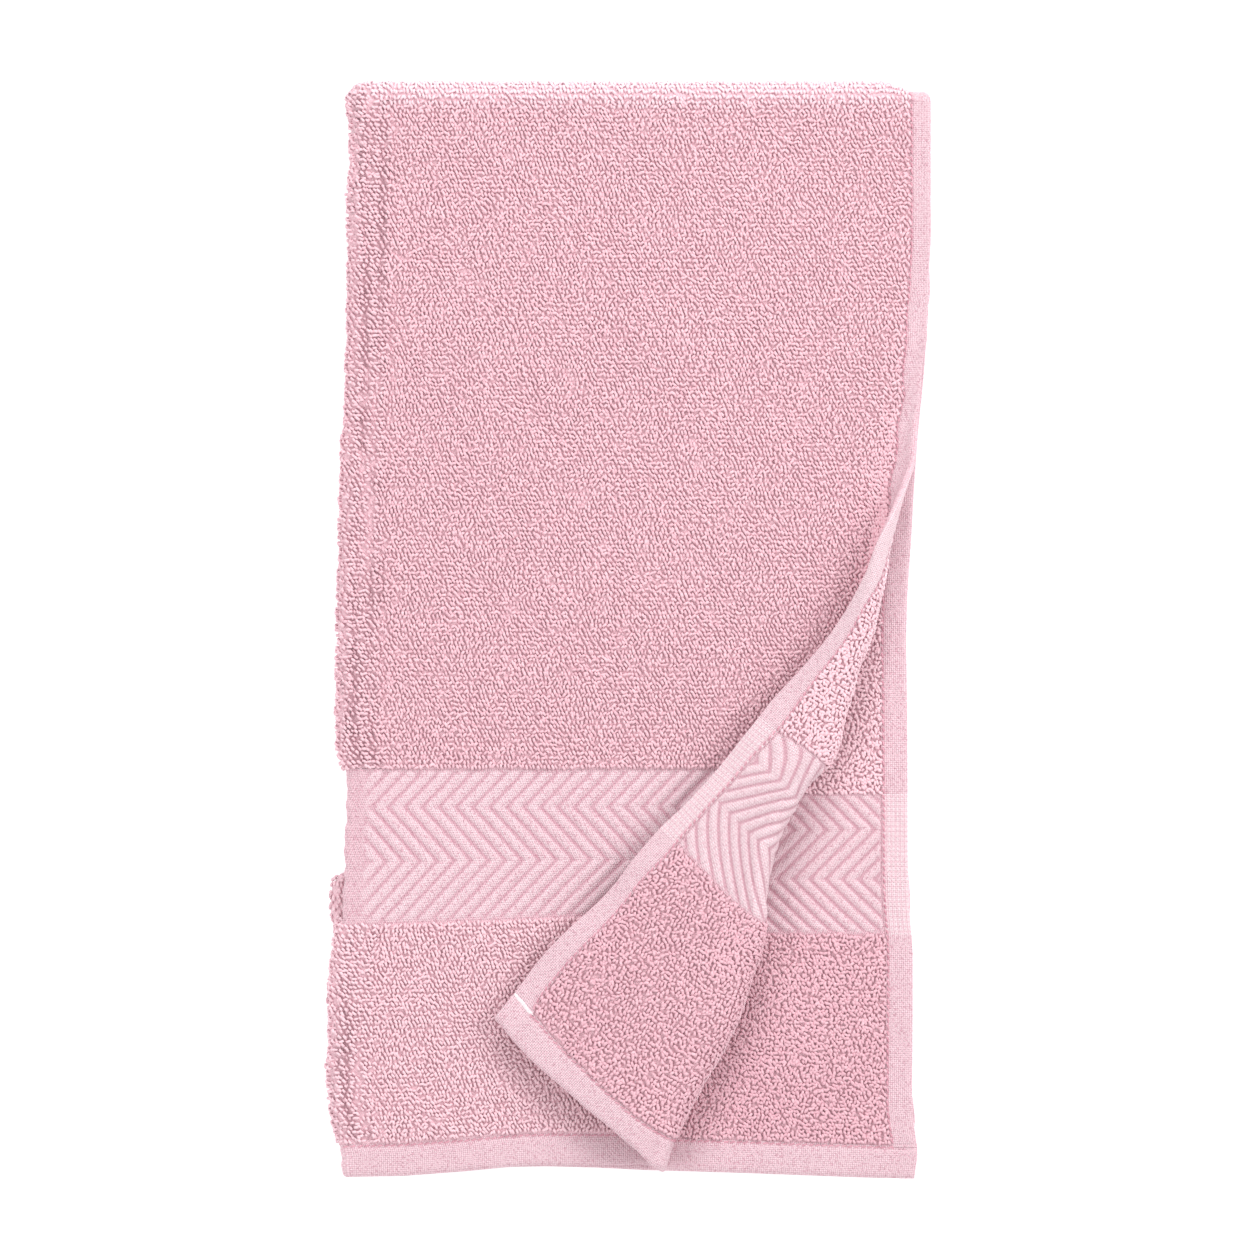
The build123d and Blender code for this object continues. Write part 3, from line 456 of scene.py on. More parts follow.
def keeper(which, side=None):
    def keep(ga, gb):
        g, d = group(ga.ravel(), gb.ravel())
        d = d.reshape(ga.shape)
        mb = (gb[:-1, :-1] + gb[1:, 1:]) / 2
        ma = (ga[:-1, :-1] + ga[1:, 1:]) / 2
        lo, hi = cells(d)
        top = (ma > FH) & (mb > BQ)
        cls = np.where(mb < -BQ, BACK, np.where(mb < BQ, ARC, FRONT))
        cls = np.where(top & (lo >= D_TOP), FLAP, np.where(top & (hi > 0), ROLL, cls))
        ok = cls == which
        if side == "outer":
            ok &= ma > -FH
        elif side == "inner":
            ok &= ma < -FH
        return ok

    return keep


def steps(lo, hi, pitch):
    n = max(1, int(round((hi - lo) / pitch)))
    return np.linspace(lo, hi, n + 1)


def t2b(t, front=True):
    return (BQ + T_TOP - t) * (1 if front else -1)


def lines(*parts):
    out = np.concatenate(parts)
    return np.unique(np.round(out, 6))


def ridge(a, t):
    """Raised zigzag ribs of the woven band, 0..1."""
    L = T_B1 - T_B0
    ca = np.abs(a)
    y1, y2 = T_B1 - 0.255 * L, T_B1 - 0.607 * L
    shift = np.where(t > y1, t - y1, np.where(t > y2, -(t - y1), -(y2 - y1) + (t - y2)))
    shift = np.where(t > y1, (t - y1), np.where(t > y2, (y1 - t), (y1 - y2) - (y2 - t)))
    ph = (a - shift) * 2 * PI / 5.88
    r = 1 - (0.5 - 0.5 * np.cos(ph)) ** 2.1
    r = r * (1 - 0.10 * (0.5 - 0.5 * np.cos(2 * ph)))
    cut = 1 - 0.30 * np.exp(-((t - y1) / 0.7) ** 2) - 0.30 * np.exp(-((t - y2) / 0.7) ** 2)
    fade = sstep((ca - 5) / 7) * (1 - sstep((ca - (A_HEM - 1.4)) / 1.0))
    ends = sstep((t - T_B0 - 0.5) / 1.5) * (1 - sstep((t - T_B1 + 2.0) / 1.5))
    k = fade * ends
    return r * cut * k + 0.32 * (1 - k)


def band_thick(a, b):
    t = T_TOP + BQ - np.abs(b)
    r = ridge(a, t)
    return 0.74 + 0.82 * r, 0.68 + 0.92 * r


def near_fold(a):
    """1 beside the lengthwise fold on the outer leaves, where the pile stands open, 0 away from it."""
    return sstep((a + FH + 1.5) / 2) * (1 - sstep((a - 11) / 4.5))


def ground_thick(a, b):
    # knitted-looking rise and fall between the rows of loops
    n = 0.05 * np.sin(a * 1.9) * np.sin(b * 1.7)
    return n + 1.16 - 0.28 * near_fold(a), n + 0.66


def groove(u):
    return 1 - 0.46 * np.exp(-((u - 0.045) / 0.075) ** 2)


def rounded(e, r):
    """Falls off over the last r millimetres before the free edge, e being the distance from it."""
    return np.sqrt(np.clip(1 - 0.90 * np.clip((r - e) / r, 0, 1) ** 2.2, 0.02, 1))


def hem_thick(a, b):
    """Half-thickness of the side hems, the end hems and the corners they share."""
    t = T_TOP + BQ - np.abs(b)
    ua = (np.abs(a) - A_HEM) / (AF - A_HEM)
    ut = (T_HEM - t) / T_HEM
    puck_s = 0.17 * np.sin(b * 2 * PI / 4.9 + 1.5 * np.sin(b * 0.11)) * np.exp(-((ua - 0.1) / 0.3) ** 2) + 0.07 * np.sin(b * 0.31 + a)
    puck_e = 0.17 * np.sin(a * 2 * PI / 5.2 + 1.3 * np.sin(a * 0.09)) * np.exp(-((ut - 0.1) / 0.3) ** 2) + 0.07 * np.sin(a * 0.27)
    on_end = sstep((T_HEM + 0.6 - t) / 1.2)
    on_side = sstep(ua * 12 + 0.4)
    g = np.where(ua > 0, groove(ua) * (1 - on_end) + on_end, 1.0) * np.where(ut > -0.02, groove(ut), 1.0)
    h = 1.40 * g * rounded(AF - np.abs(a), 2.2) * rounded(t, 2.4)
    p = (puck_s * on_side * (1 - on_end) + puck_e * on_end) * rounded(AF - np.abs(a), 2.2) * rounded(t, 2.4)
    h = h + p
    return h, h


side_hem_thick = end_hem_thick = hem_thick


# ------------------------------------------------------------------ materials
def new_mat(name):
    m = bpy.data.materials.new(name)
    m.use_nodes = True
    nt = m.node_tree
    for n in list(nt.nodes):
        nt.nodes.remove(n)
    out = nt.nodes.new("ShaderNodeOutputMaterial")
    bs = nt.nodes.new("ShaderNodeBsdfPrincipled")
    nt.links.new(bs.outputs[0], out.inputs["Surface"])
    return m, nt, bs


def node(nt, kind, **kw):
    n = nt.nodes.new(kind)
    for k, v in kw.items():
        if k.startswith("in_"):
            key = k[3:].replace("_", " ")
            n.inputs[int(key) if key.isdigit() else key].default_value = v
        else:
            setattr(n, k, v)
    return n


def math_n(nt, op, a, b=None, clamp=False):
    n = nt.nodes.new("ShaderNodeMath")
    n.operation = op
    n.use_clamp = clamp
    for i, v in enumerate((a, b)):
        if v is None:
            continue
        if isinstance(v, (int, float)):
            n.inputs[i].default_value = v
        else:
            nt.links.new(v, n.inputs[i])
    return n.outputs[0]


def attr(nt, name):
    n = nt.nodes.new("ShaderNodeAttribute")
    n.attribute_name = name
    return n


def mix_rgb(nt, fac, a, b, blend="MIX"):
    n = nt.nodes.new("ShaderNodeMix")
    n.data_type = "RGBA"
    n.blend_type = blend
    for i, v in ((0, fac), (6, a), (7, b)):
        if isinstance(v, (int, float)):
            n.inputs[i].default_value = v
        elif isinstance(v, tuple):
            n.inputs[i].default_value = v
        else:
            nt.links.new(v, n.inputs[i])
    return n.outputs[2]


def ramp(nt, fac, lo, hi):
    n = nt.nodes.new("ShaderNodeMapRange")
    nt.links.new(fac, n.inputs["Value"])
    n.inputs["To Min"].default_value = lo
    n.inputs["To Max"].default_value = hi
    return n.outputs[0]


def rgb(r, g, b):
    f = lambda c: ((c / 255) / 12.92) if c / 255 <= 0.04045 else (((c / 255) + 0.055) / 1.055) ** 2.4
    return (f(r), f(g), f(b), 1.0)


PINK_HI, PINK_MID, PINK_LO, PINK_DEEP = rgb(246, 207, 216), rgb(237, 195, 205), rgb(225, 178, 190), rgb(233, 196, 206)


def sheen(bs, w, r=0.5, tint=(1.0, 0.90, 0.93, 1.0)):
    bs.inputs["Sheen Weight"].default_value = w
    bs.inputs["Sheen Roughness"].default_value = r
    bs.inputs["Sheen Tint"].default_value = tint
    bs.inputs["Specular IOR Level"].default_value = 0.18
    bs.inputs["IOR"].default_value = 1.45


def object_noise(nt, scale, detail=3.0, rough=0.55, vec=None):
    n = node(nt, "ShaderNodeTexNoise", in_Scale=scale, in_Detail=detail, in_Roughness=rough)
    if vec is None:
        tc = nt.nodes.new("ShaderNodeTexCoord")
        vec = tc.outputs["Object"]
    nt.links.new(vec, n.inputs["Vector"])
    return n.outputs["Fac"]


def bump(nt, bs, height, strength, dist, under=None):
    n = node(nt, "ShaderNodeBump", in_Strength=strength, in_Distance=dist)
    nt.links.new(height, n.inputs["Height"])
    if under is not None:
        nt.links.new(under, n.inputs["Normal"])
    if bs is not None:
        nt.links.new(n.outputs[0], bs.inputs["Normal"])
    return n.outputs[0]


def pile_material():
    m, nt, bs = new_mat("terry_pile")
    tone, tip = attr(nt, "tone").outputs["Fac"], attr(nt, "tip").outputs["Fac"]
    slow = object_noise(nt, 22.0, 3.0)
    c1 = mix_rgb(nt, tone, PINK_LO, PINK_HI)
    c1 = mix_rgb(nt, ramp(nt, slow, -0.25, 0.75), c1, PINK_MID)
    c2 = mix_rgb(nt, tip, PINK_DEEP, c1)
    # painted highlight: loops are mixed toward near-white by the pale attribute
    c2 = mix_rgb(nt, attr(nt, "pale").outputs["Fac"], c2, rgb(255, 240, 246))
    nt.links.new(c2, bs.inputs["Base Color"])
    fine = object_noise(nt, 2600.0, 2.0)
    nt.links.new(ramp(nt, fine, 0.72, 0.98), bs.inputs["Roughness"])
    bump(nt, bs, fine, 0.45, 0.00012)
    sheen(bs, 0.22, 0.45)
    return m


def ground_material():
    m, nt, bs = new_mat("terry_ground")
    f = attr(nt, "flat").outputs["Vector"]
    sc = node(nt, "ShaderNodeVectorMath", operation="SCALE")
    nt.links.new(f, sc.inputs[0])
    sc.inputs["Scale"].default_value = 1.0
    sep = nt.nodes.new("ShaderNodeSeparateXYZ")
    nt.links.new(sc.outputs[0], sep.inputs[0])
    wx = math_n(nt, "SINE", math_n(nt, "MULTIPLY", sep.outputs[0], 2 * PI / 0.9))
    wy = math_n(nt, "SINE", math_n(nt, "MULTIPLY", sep.outputs[1], 2 * PI / 0.9))
    w = math_n(nt, "MULTIPLY", wx, wy)
    h = math_n(nt, "ADD", math_n(nt, "MULTIPLY", w, 0.5), 0.5)
    slow = object_noise(nt, 160.0, 4.0)
    c = mix_rgb(nt, slow, rgb(235, 196, 206), rgb(243, 207, 216))
    c = mix_rgb(nt, ramp(nt, h, 0.0, 0.35), c, rgb(222, 180, 191))
    nt.links.new(c, bs.inputs["Base Color"])
    nt.links.new(ramp(nt, slow, 0.8, 1.0), bs.inputs["Roughness"])
    bump(nt, bs, h, 0.6, 0.0003)
    sheen(bs, 0.2)
    return m


def weave_material(name, hi, lo, line, pitch_a, pitch_b, depth, twill=False, window=False):
    """Flat woven cloth: warp and weft threads crossing at the real pitch, in the cloth's own directions."""
    m, nt, bs = new_mat(name)
    f = attr(nt, "flat").outputs["Vector"]
    sep = nt.nodes.new("ShaderNodeSeparateXYZ")
    nt.links.new(f, sep.inputs[0])
    a, b = sep.outputs[0], sep.outputs[1]
    jig = object_noise(nt, 420.0, 2.0)
    a2 = math_n(nt, "ADD", a, math_n(nt, "MULTIPLY", jig, 0.22))
    b2 = math_n(nt, "ADD", b, math_n(nt, "MULTIPLY", jig, 0.22))
    if twill:
        u = math_n(nt, "ADD", a2, math_n(nt, "MULTIPLY", b2, 0.35))
        v = b2
    else:
        u, v = a2, b2
    su = math_n(nt, "SINE", math_n(nt, "MULTIPLY", u, 2 * PI / pitch_a))
    sv = math_n(nt, "SINE", math_n(nt, "MULTIPLY", v, 2 * PI / pitch_b))
    au, av = math_n(nt, "ABSOLUTE", su), math_n(nt, "ABSOLUTE", sv)
    cross = math_n(nt, "MULTIPLY", su, sv)
    h = math_n(nt, "ADD", math_n(nt, "MULTIPLY", math_n(nt, "POWER", au, 0.5), 0.45), math_n(nt, "MULTIPLY", math_n(nt, "POWER", av, 0.5), 0.35))
    h = math_n(nt, "ADD", h, math_n(nt, "MULTIPLY", cross, 0.22))
    slow = object_noise(nt, 30.0, 3.0)
    mid = object_noise(nt, 900.0, 2.0)
    c = mix_rgb(nt, slow, lo, hi)
    c = mix_rgb(nt, ramp(nt, mid, 0.0, 0.5), c, hi)
    speck = object_noise(nt, 1250.0, 1.0)
    dark = nt.nodes.new("ShaderNodeMapRange")
    nt.links.new(speck, dark.inputs["Value"])
    dark.inputs["From Min"].default_value = 0.50
    dark.inputs["From Max"].default_value = 0.72
    dark.inputs["To Min"].default_value = 0.0
    dark.inputs["To Max"].default_value = 0.65
    c = mix_rgb(nt, dark.outputs[0], c, line)
    # painted highlight: hems and band are mixed toward near-white by the pale attribute
    c = mix_rgb(nt, attr(nt, "pale").outputs["Fac"], c, rgb(255, 240, 244))
    low = math_n(nt, "SUBTRACT", 1.0, math_n(nt, "MULTIPLY", h, 1.15), True)
    c = mix_rgb(nt, math_n(nt, "MULTIPLY", low, 0.75), c, line)
    if twill:
        # painted shade: where the band is thinnest, in the grooves between its raised ribs, the colour is darkened
        # toward the thread colour
        face = math_n(nt, "ABSOLUTE", sep.outputs[2])
        rise = nt.nodes.new("ShaderNodeMapRange")
        nt.links.new(face, rise.inputs["Value"])
        rise.inputs["From Min"].default_value = 0.80
        rise.inputs["From Max"].default_value = 1.18
        rise.inputs["To Min"].default_value = 0.60
        rise.inputs["To Max"].default_value = 0.0
        c = mix_rgb(nt, rise.outputs[0], c, line)
    if window:
        # beside the woven band the hem is an open, paler grid
        off = math_n(nt, "ABSOLUTE", math_n(nt, "SUBTRACT", math_n(nt, "ABSOLUTE", b), BQ + T_TOP - (T_B0 + T_B1) / 2))
        on_band = math_n(nt, "LESS_THAN", off, (T_B1 - T_B0) / 2)
        gx = math_n(nt, "POWER", math_n(nt, "ABSOLUTE", math_n(nt, "SINE", math_n(nt, "MULTIPLY", a2, PI / 1.6))), 0.7)
        gy = math_n(nt, "POWER", math_n(nt, "ABSOLUTE", math_n(nt, "SINE", math_n(nt, "MULTIPLY", b2, PI / 1.8))), 0.7)
        grid = mix_rgb(nt, math_n(nt, "MULTIPLY", gx, gy), rgb(240, 196, 208), rgb(255, 243, 246))
        c = mix_rgb(nt, math_n(nt, "MULTIPLY", on_band, 0.55), c, grid)
    nt.links.new(c, bs.inputs["Base Color"])
    nt.links.new(ramp(nt, mid, 0.62, 0.9), bs.inputs["Roughness"])
    nb = bump(nt, None, h, 1.0, depth)
    bump(nt, bs, mid, 0.6, 0.0003, nb)
    sheen(bs, 0.28, 0.4)
    return m


def thread_material(name, hi, lo):
    m, nt, bs = new_mat(name)
    tone = attr(nt, "tone").outputs["Fac"]
    fine = object_noise(nt, 1500.0, 2.0)
    c = mix_rgb(nt, tone, lo, hi)
    c = mix_rgb(nt, ramp(nt, fine, 0.0, 0.35), c, lo)
    nt.links.new(c, bs.inputs["Base Color"])
    nt.links.new(ramp(nt, fine, 0.5, 0.8), bs.inputs["Roughness"])
    bump(nt, bs, fine, 0.4, 0.0001)
    sheen(bs, 0.2)
    return m


MAT_PILE = pile_material()
MAT_GROUND = ground_material()
MAT_BAND = weave_material("woven_band", rgb(252, 231, 237), rgb(250, 220, 228), rgb(204, 142, 160), 1.30, 1.55, 0.00042, True)
MAT_HEM = weave_material("hem_weave", rgb(248, 222, 229), rgb(243, 209, 219), rgb(204, 144, 162), 1.42, 1.42, 0.00045, False, True)
MAT_THREAD = thread_material("seam_thread", rgb(233, 181, 194), rgb(200, 140, 157))
MAT_LIP = weave_material("hem_edge_weave", rgb(255, 246, 248), rgb(255, 238, 242), rgb(244, 214, 222), 0.8, 0.8, 0.00015)

# ------------------------------------------------------------------ woven ground, band and hems
WHERE = {BACK: "back_half", FRONT: "front_half", ROLL: "roll", FLAP: "turned_corner"}
NAMES = {BACK: "back_half", FRONT: "front_half", ROLL: "corner_roll", FLAP: "turned_corner"}
NODES = {
    ("ground", BACK): ["back_leaf_terry", "inner_leaf_terry", "back_leaf_end_terry", "inner_leaf_end_terry", "back_left_fold"],
    ("ground", FRONT): ["front_leaf_terry", "second_leaf_terry", "front_leaf_end_terry", "second_leaf_end_terry", "front_left_fold"],
    ("ground", "outer"): ["outer_top_fold_lower", "outer_top_fold_upper"],
    ("ground", "inner"): ["inner_top_fold_lower", "inner_top_fold_upper"],
    ("ground", ROLL): ["corner_roll_lower", "corner_roll_upper"],
    ("ground", FLAP): ["corner_upper_terry", "corner_end_terry"],
    ("band", BACK): ["back_leaf_border", "inner_leaf_border"],
    ("band", FRONT): ["front_leaf_border", "second_leaf_border"],
    ("band", FLAP): ["corner_border"],
    ("side_hem", BACK): ["back_leaf_side_hem", "inner_leaf_side_hem"],
    ("side_hem", FRONT): ["front_leaf_side_hem", "second_leaf_side_hem"],
    ("side_hem", FLAP): ["corner_side_hem"],
    ("end_hem", BACK): ["back_leaf_end_hem", "inner_leaf_end_hem"],
    ("end_hem", FRONT): ["front_leaf_end_hem", "second_leaf_end_hem"],
    ("end_hem", FLAP): ["corner_end_hem"],
    ("side_seam", BACK): ["back_leaf_side_seam", "inner_leaf_side_seam"],
    ("side_seam", FRONT): ["front_leaf_side_seam", "second_leaf_side_seam"],
    ("side_seam", FLAP): ["corner_side_seam"],
    ("end_seam", BACK): ["back_end_seam"],
    ("end_seam", FRONT): ["front_leaf_end_seam", "second_leaf_end_seam"],
    ("end_seam", FLAP): ["corner_end_seam"],
}
made = {}


def flat_area(a0, a1, t0, t1):
    return (a1 - a0) * (t1 - t0) * 1e-6


def painted_hem_highlight(a, b):
    """Painted highlight on the turned corner's hems and band: the band a little lighter throughout, the hems lighter
    most about 220 mm from the end edge.
    """
    t = T_TOP + BQ - np.abs(b)
    return np.where((t > T_B0) & (t < T_B1) & (np.abs(a) < A_HEM - 0.01), 0.30, 0.08 + 0.42 * np.exp(-((t - 220) / 40) ** 2))


def build_cloth(kind, label, which, A, Bs, thick, mat, side=None, where=None):
    parts, off = [], 0
    vs, qs, fs, hs = [], [], [], []
    for B in Bs:
        r = slab(A, B, thick, keeper(which, side))
        if r is None:
            continue
        vs.append(r[0])
        qs.append(r[1] + off)
        fs.append(r[2])
        hs.append(r[3] + off)
        off += len(r[0])
    if not vs:
        return None
    v, q, f = np.concatenate(vs), np.concatenate(qs), np.concatenate(fs)
    attrs = {"flat": ("FLOAT_VECTOR", f)}
    if "hem" in kind or "band" in kind:
        # painted highlight on the up-facing hems and band of the roll and turned corner
        attrs["pale"] = ("FLOAT", painted_hem_highlight(f[:, 0], f[:, 1]) * (which in (ROLL, FLAP)) * (f[:, 2] < 0))
    ob = put(label, v, q, mat, attrs, sharp=np.concatenate(hs))
    seat(ob, where or WHERE[which], NODES.get((kind, side if which == ARC else which), ()) if label.count("#") == 0 else ())
    made.setdefault((which, side) if which == ARC else which, {}).setdefault(kind, []).append(ob)
    return ob


fold_cols = steps(-FH, FH, 0.8)
a_terry = lines(steps(-A_HEM, -FH, 3.0), fold_cols, steps(FH, A_HEM, 3.0))
a_out = a_terry[a_terry >= -1e-6]
b_arc = steps(-BQ, BQ, 1.1)
tt_up, tt_end = steps(T_B1, T_TOP, 3.0), steps(T_HEM, T_B0, 3.0)

for w in (BACK, FRONT, ROLL, FLAP):
    fr = w != BACK
    A = a_terry if w in (BACK, FRONT) else lines(steps(FH, A_HEM, 3.0))
    if w in (ROLL, FLAP):
        A = lines(steps(FH, 20.0, 3.0), steps(20.0, A_HEM, 1.6))
    if w == FRONT:
        A = lines(steps(-A_HEM, -FH, 3.0), fold_cols, steps(FH, 20.0, 3.0), steps(20.0, A_HEM, 1.6))
    t1 = steps(T_B1, T_TOP, 3.0 if w == BACK else 1.6)
    t2 = steps(T_HEM, T_B0, 3.0 if w == BACK else 1.6)
    build_cloth("ground", NAMES[w] + "_terry_ground", w, A, [np.sort(t2b(t1, fr)), np.sort(t2b(t2, fr))], ground_thick, MAT_GROUND)
build_cloth("ground", "crosswise_fold_outer_ground", ARC, a_terry[a_terry >= -FH - 1e-6], [b_arc], ground_thick, MAT_GROUND, "outer", "outer")
build_cloth("ground", "crosswise_fold_inner_ground", ARC, a_terry[a_terry <= -FH + 1e-6], [steps(-BQ, BQ, 0.35)], ground_thick, MAT_GROUND, "inner", "inner")

CELL = 0.62
for w in (BACK, FRONT, ROLL, FLAP):
    fr = w != BACK
    cell = CELL if fr else max(CELL, 0.8)
    t = steps(T_B0, T_B1, cell)
    halves = (("inner", -1), ("outer", 1)) if w in (BACK, FRONT) else (("outer", 1),)
    for tag, s in halves:
        A = lines(steps(0, FH, 0.8), steps(FH, A_HEM, cell)) * s
        label = NAMES[w] + "_woven_band" + ("_" + tag if len(halves) > 1 else "")
        ob = build_cloth("band_x", label, w, np.sort(A), [np.sort(t2b(t, fr))], band_thick, MAT_BAND)
        if ob is None:
            continue
        names = NODES.get(("band", w), [])
        if len(halves) > 1:
            names = [n for n in names if (("inner" in n or "second" in n) == (tag == "inner"))]
        if names:
            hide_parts(*names)

a_hem_in = A_HEM + (AF - A_HEM) * np.array([0, 0.04, 0.09, 0.15, 0.24, 0.36, 0.5, 0.64, 0.76, 0.84, 0.90, 0.95, 0.985, 1.0])
t_edge = np.array([0, 0.12, 0.4, 0.9, 1.4, 1.9])
t_hem = T_HEM * (1 - np.array([0, 0.04, 0.09, 0.15, 0.24, 0.36, 0.5, 0.64, 0.76, 0.84, 0.90, 0.95, 0.985, 1.0]))
for w in (BACK, FRONT, ROLL, FLAP):
    fr = w != BACK
    tl = lines(t_edge, steps(1.9, T_TOP, 1.3))
    for tag, s in (("inner", -1), ("outer", 1)) if w in (BACK, FRONT) else (("outer", 1),):
        label = NAMES[w] + "_side_hem" + ("_" + tag if w in (BACK, FRONT) else "")
        ob = build_cloth("side_hem_x", label, w, np.sort(a_hem_in * s), [np.sort(t2b(tl, fr))], side_hem_thick, MAT_HEM)
        names = NODES.get(("side_hem", w), [])
        if w in (BACK, FRONT):
            names = [n for n in names if (("inner" in n or "second" in n) == (tag == "inner"))]
        if ob is not None and names:
            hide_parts(*names)
    A = lines(steps(-A_HEM, -FH, 1.3), fold_cols, steps(FH, A_HEM, 1.3)) if w in (BACK, FRONT) else steps(FH, A_HEM, 1.3)
    build_cloth("end_hem", NAMES[w] + "_end_hem", w, A, [np.sort(t2b(t_hem, fr))], end_hem_thick, MAT_HEM)
build_cloth("side_hem", "crosswise_fold_outer_side_hem", ARC, a_hem_in, [b_arc], side_hem_thick, MAT_HEM, "outer", "outer")
build_cloth("side_hem", "crosswise_fold_inner_side_hem", ARC, np.sort(-a_hem_in), [steps(-BQ, BQ, 0.35)], side_hem_thick, MAT_HEM, "inner", "inner")


# ------------------------------------------------------------------ pile
def tubes(path, tone, tipv, ref, radius, sides):
    """Bent tubes. path n x K x 3, ref n x 3 is a direction across each, radius n x K x 2."""
    n, K, _ = path.shape
    tan = np.gradient(path, axis=1)
    tan /= np.linalg.norm(tan, axis=2, keepdims=True) + 1e-9
    c1 = ref[:, None] - (ref[:, None] * tan).sum(2, keepdims=True) * tan
    c1 /= np.linalg.norm(c1, axis=2, keepdims=True) + 1e-9
    c2 = np.cross(tan, c1)
    an = 2 * PI * (np.arange(sides) + 0.5) / sides
    ring = np.cos(an)[None, None, :, None] * c1[:, :, None] * radius[:, :, None, 0:1] + np.sin(an)[None, None, :, None] * c2[:, :, None] * radius[:, :, None, 1:2]
    V = (path[:, :, None] + ring).reshape(-1, 3)
    k, s = np.meshgrid(np.arange(K - 1), np.arange(sides), indexing="ij")
    s2 = (s + 1) % sides
    q = np.stack([k * sides + s, k * sides + s2, (k + 1) * sides + s2, (k + 1) * sides + s], -1).reshape(-1, 4)
    Q = (q[None] + (np.arange(n) * K * sides)[:, None, None]).reshape(-1, 4)
    T = np.repeat(tone, K * sides)
    H = np.repeat(tipv.reshape(-1), sides)
    return V, Q, T, H


def loop_roots(a0, a1, b0, b1, pa, pb, rng, jit=0.13):
    na, nb = max(1, round((a1 - a0) / pa)), max(1, round((b1 - b0) / pb))
    A = a0 + (np.arange(na) + 0.25) * (a1 - a0) / na
    B = b0 + (np.arange(nb) + 0.5) * (b1 - b0) / nb
    ga, gb = np.meshgrid(A, B, indexing="ij")
    ga = ga + ((np.arange(len(B)) % 2) * 0.5 * pa)[None]
    ga = ga + rng.normal(0, jit * pa, ga.shape)
    gb = gb + rng.normal(0, jit * pb, gb.shape)
    ga, gb = np.clip(ga, a0 + 0.25, a1 - 0.25), np.clip(gb, b0 + 0.25, b1 - 0.25)
    return ga.ravel(), gb.ravel()


def pile(a, b, side, K, sides, rng, height=1.08, hmax=None, rad=0.50, fat=1.0, base=0.80):
    """Loops of yarn standing on one face. side +1 outer face, -1 inner face."""
    P, Ta, Tb, N = frames(a, b)
    Nn = N * side
    n = len(a)
    # each loop is twisted away from the warp direction, in slowly changing swirls
    swirl = 0.5 * np.sin(a * 0.21 + 1.7 * np.sin(b * 0.13)) + 0.5 * np.sin(b * 0.17 - a * 0.09)
    turn = np.where(rng.random(n) < 0.80, 1.0, -1.0)
    th = PI / 2 - (0.72 + 0.26 * swirl) * turn * side + rng.normal(0, 0.18 if side > 0 else 0.55, n)
    e = np.cos(th)[:, None] * Ta + np.sin(th)[:, None] * Tb
    g = -np.sin(th)[:, None] * Ta + np.cos(th)[:, None] * Tb
    h = height * (1 + rng.normal(0, 0.085, n))
    if side > 0 and base > 0.79:
        k = near_fold(a)
        base, h = base - 0.33 * k, h * (1 + 0.30 * k)
        base = base[:, None]
        th = th * (1 - 0.45 * k) + (PI * (th > PI / 2) + 0.12) * 0.45 * k
        e = np.cos(th)[:, None] * Ta + np.sin(th)[:, None] * Tb
        g = -np.sin(th)[:, None] * Ta + np.cos(th)[:, None] * Tb
    if hmax is not None:
        h = np.minimum(h, hmax)
    span = 0.56 * (1 + rng.normal(0, 0.14, n)) * fat
    lean = rng.normal(0, 0.17, n)
    lean2 = rng.normal(0, 0.15, n)
    part, push = partings(a, b) if side > 0 else (np.zeros(n), np.zeros(n))
    h = h * (1 - 0.85 * part)
    tau = np.linspace(0, 1, K)
    up = np.sin(PI * tau) ** 0.5
    along = -np.cos(PI * tau)
    path = (
        P[:, None]
        + Nn[:, None] * (base + up[None] * h[:, None])[..., None]
        + e[:, None] * (along[None] * span[:, None] * (0.72 + 0.45 * up[None]))[..., None]
        + e[:, None] * (lean[:, None] * up[None])[..., None]
        + g[:, None] * (lean2[:, None] * up[None] + 0.22 * along[None] * np.sign(side))[..., None]
        + Ta[:, None] * (push[:, None] * up[None])[..., None]
    )
    r1 = rad * (1 + rng.normal(0, 0.09, n))[:, None] * (0.80 + 0.26 * up[None])
    radius = np.stack([r1, r1 * 0.64], -1)
    # painted light and shade per region, plus random tone per loop
    tone = np.clip(0.5 + painted_light_shade_tone(b, side) + rng.normal(0, 0.20, n), 0, 1)
    tipv = np.broadcast_to(np.clip(up[None] * 1.15 - 0.10, 0, 1), (n, K)) * (1 - 0.65 * part[:, None])
    return tubes(path, tone, np.ascontiguousarray(tipv), g, radius, sides)


def painted_light_shade_tone(b, side):
    """Painted light and shade in the loops' tone: the front's end strips lighter, the reverse's end strips darker and
    its upper terry lighter.
    """
    t = T_TOP + BQ - np.abs(b)
    if side > 0:
        return np.where(t < T_B0, 0.30, 0.0)
    return np.where(t < T_B0, -0.40, 0.40)


def painted_loop_highlight(a, b, side, rng):
    """Painted highlight on the loops: lighter where the cloth turns over the crosswise fold, beside the lengthwise fold
    and on the end strip, and on the reverse on the upper terry and along the corner roll's crease edge.
    """
    t = T_TOP + BQ - np.abs(b)
    if side < 0:
        x, y, _ = flat_plan(a, b)
        return np.where(t > T_B1, 0.14, 0.0) + np.where(a > 0, 0.42, 0.0) * np.exp(-((plan_d(x, y) - 9.0) / 2.8) ** 2)
    k = 0.64 * (1 - sstep(np.abs(b) / 12.0)) * (0.25 + 0.75 * sstep((a - 1) / 12)) * (1 + rng.normal(0, 0.16, len(a)))
    return np.clip(k + 0.10 * near_fold(a) + np.where(t < T_B0, 0.08, 0.0), 0, 1)


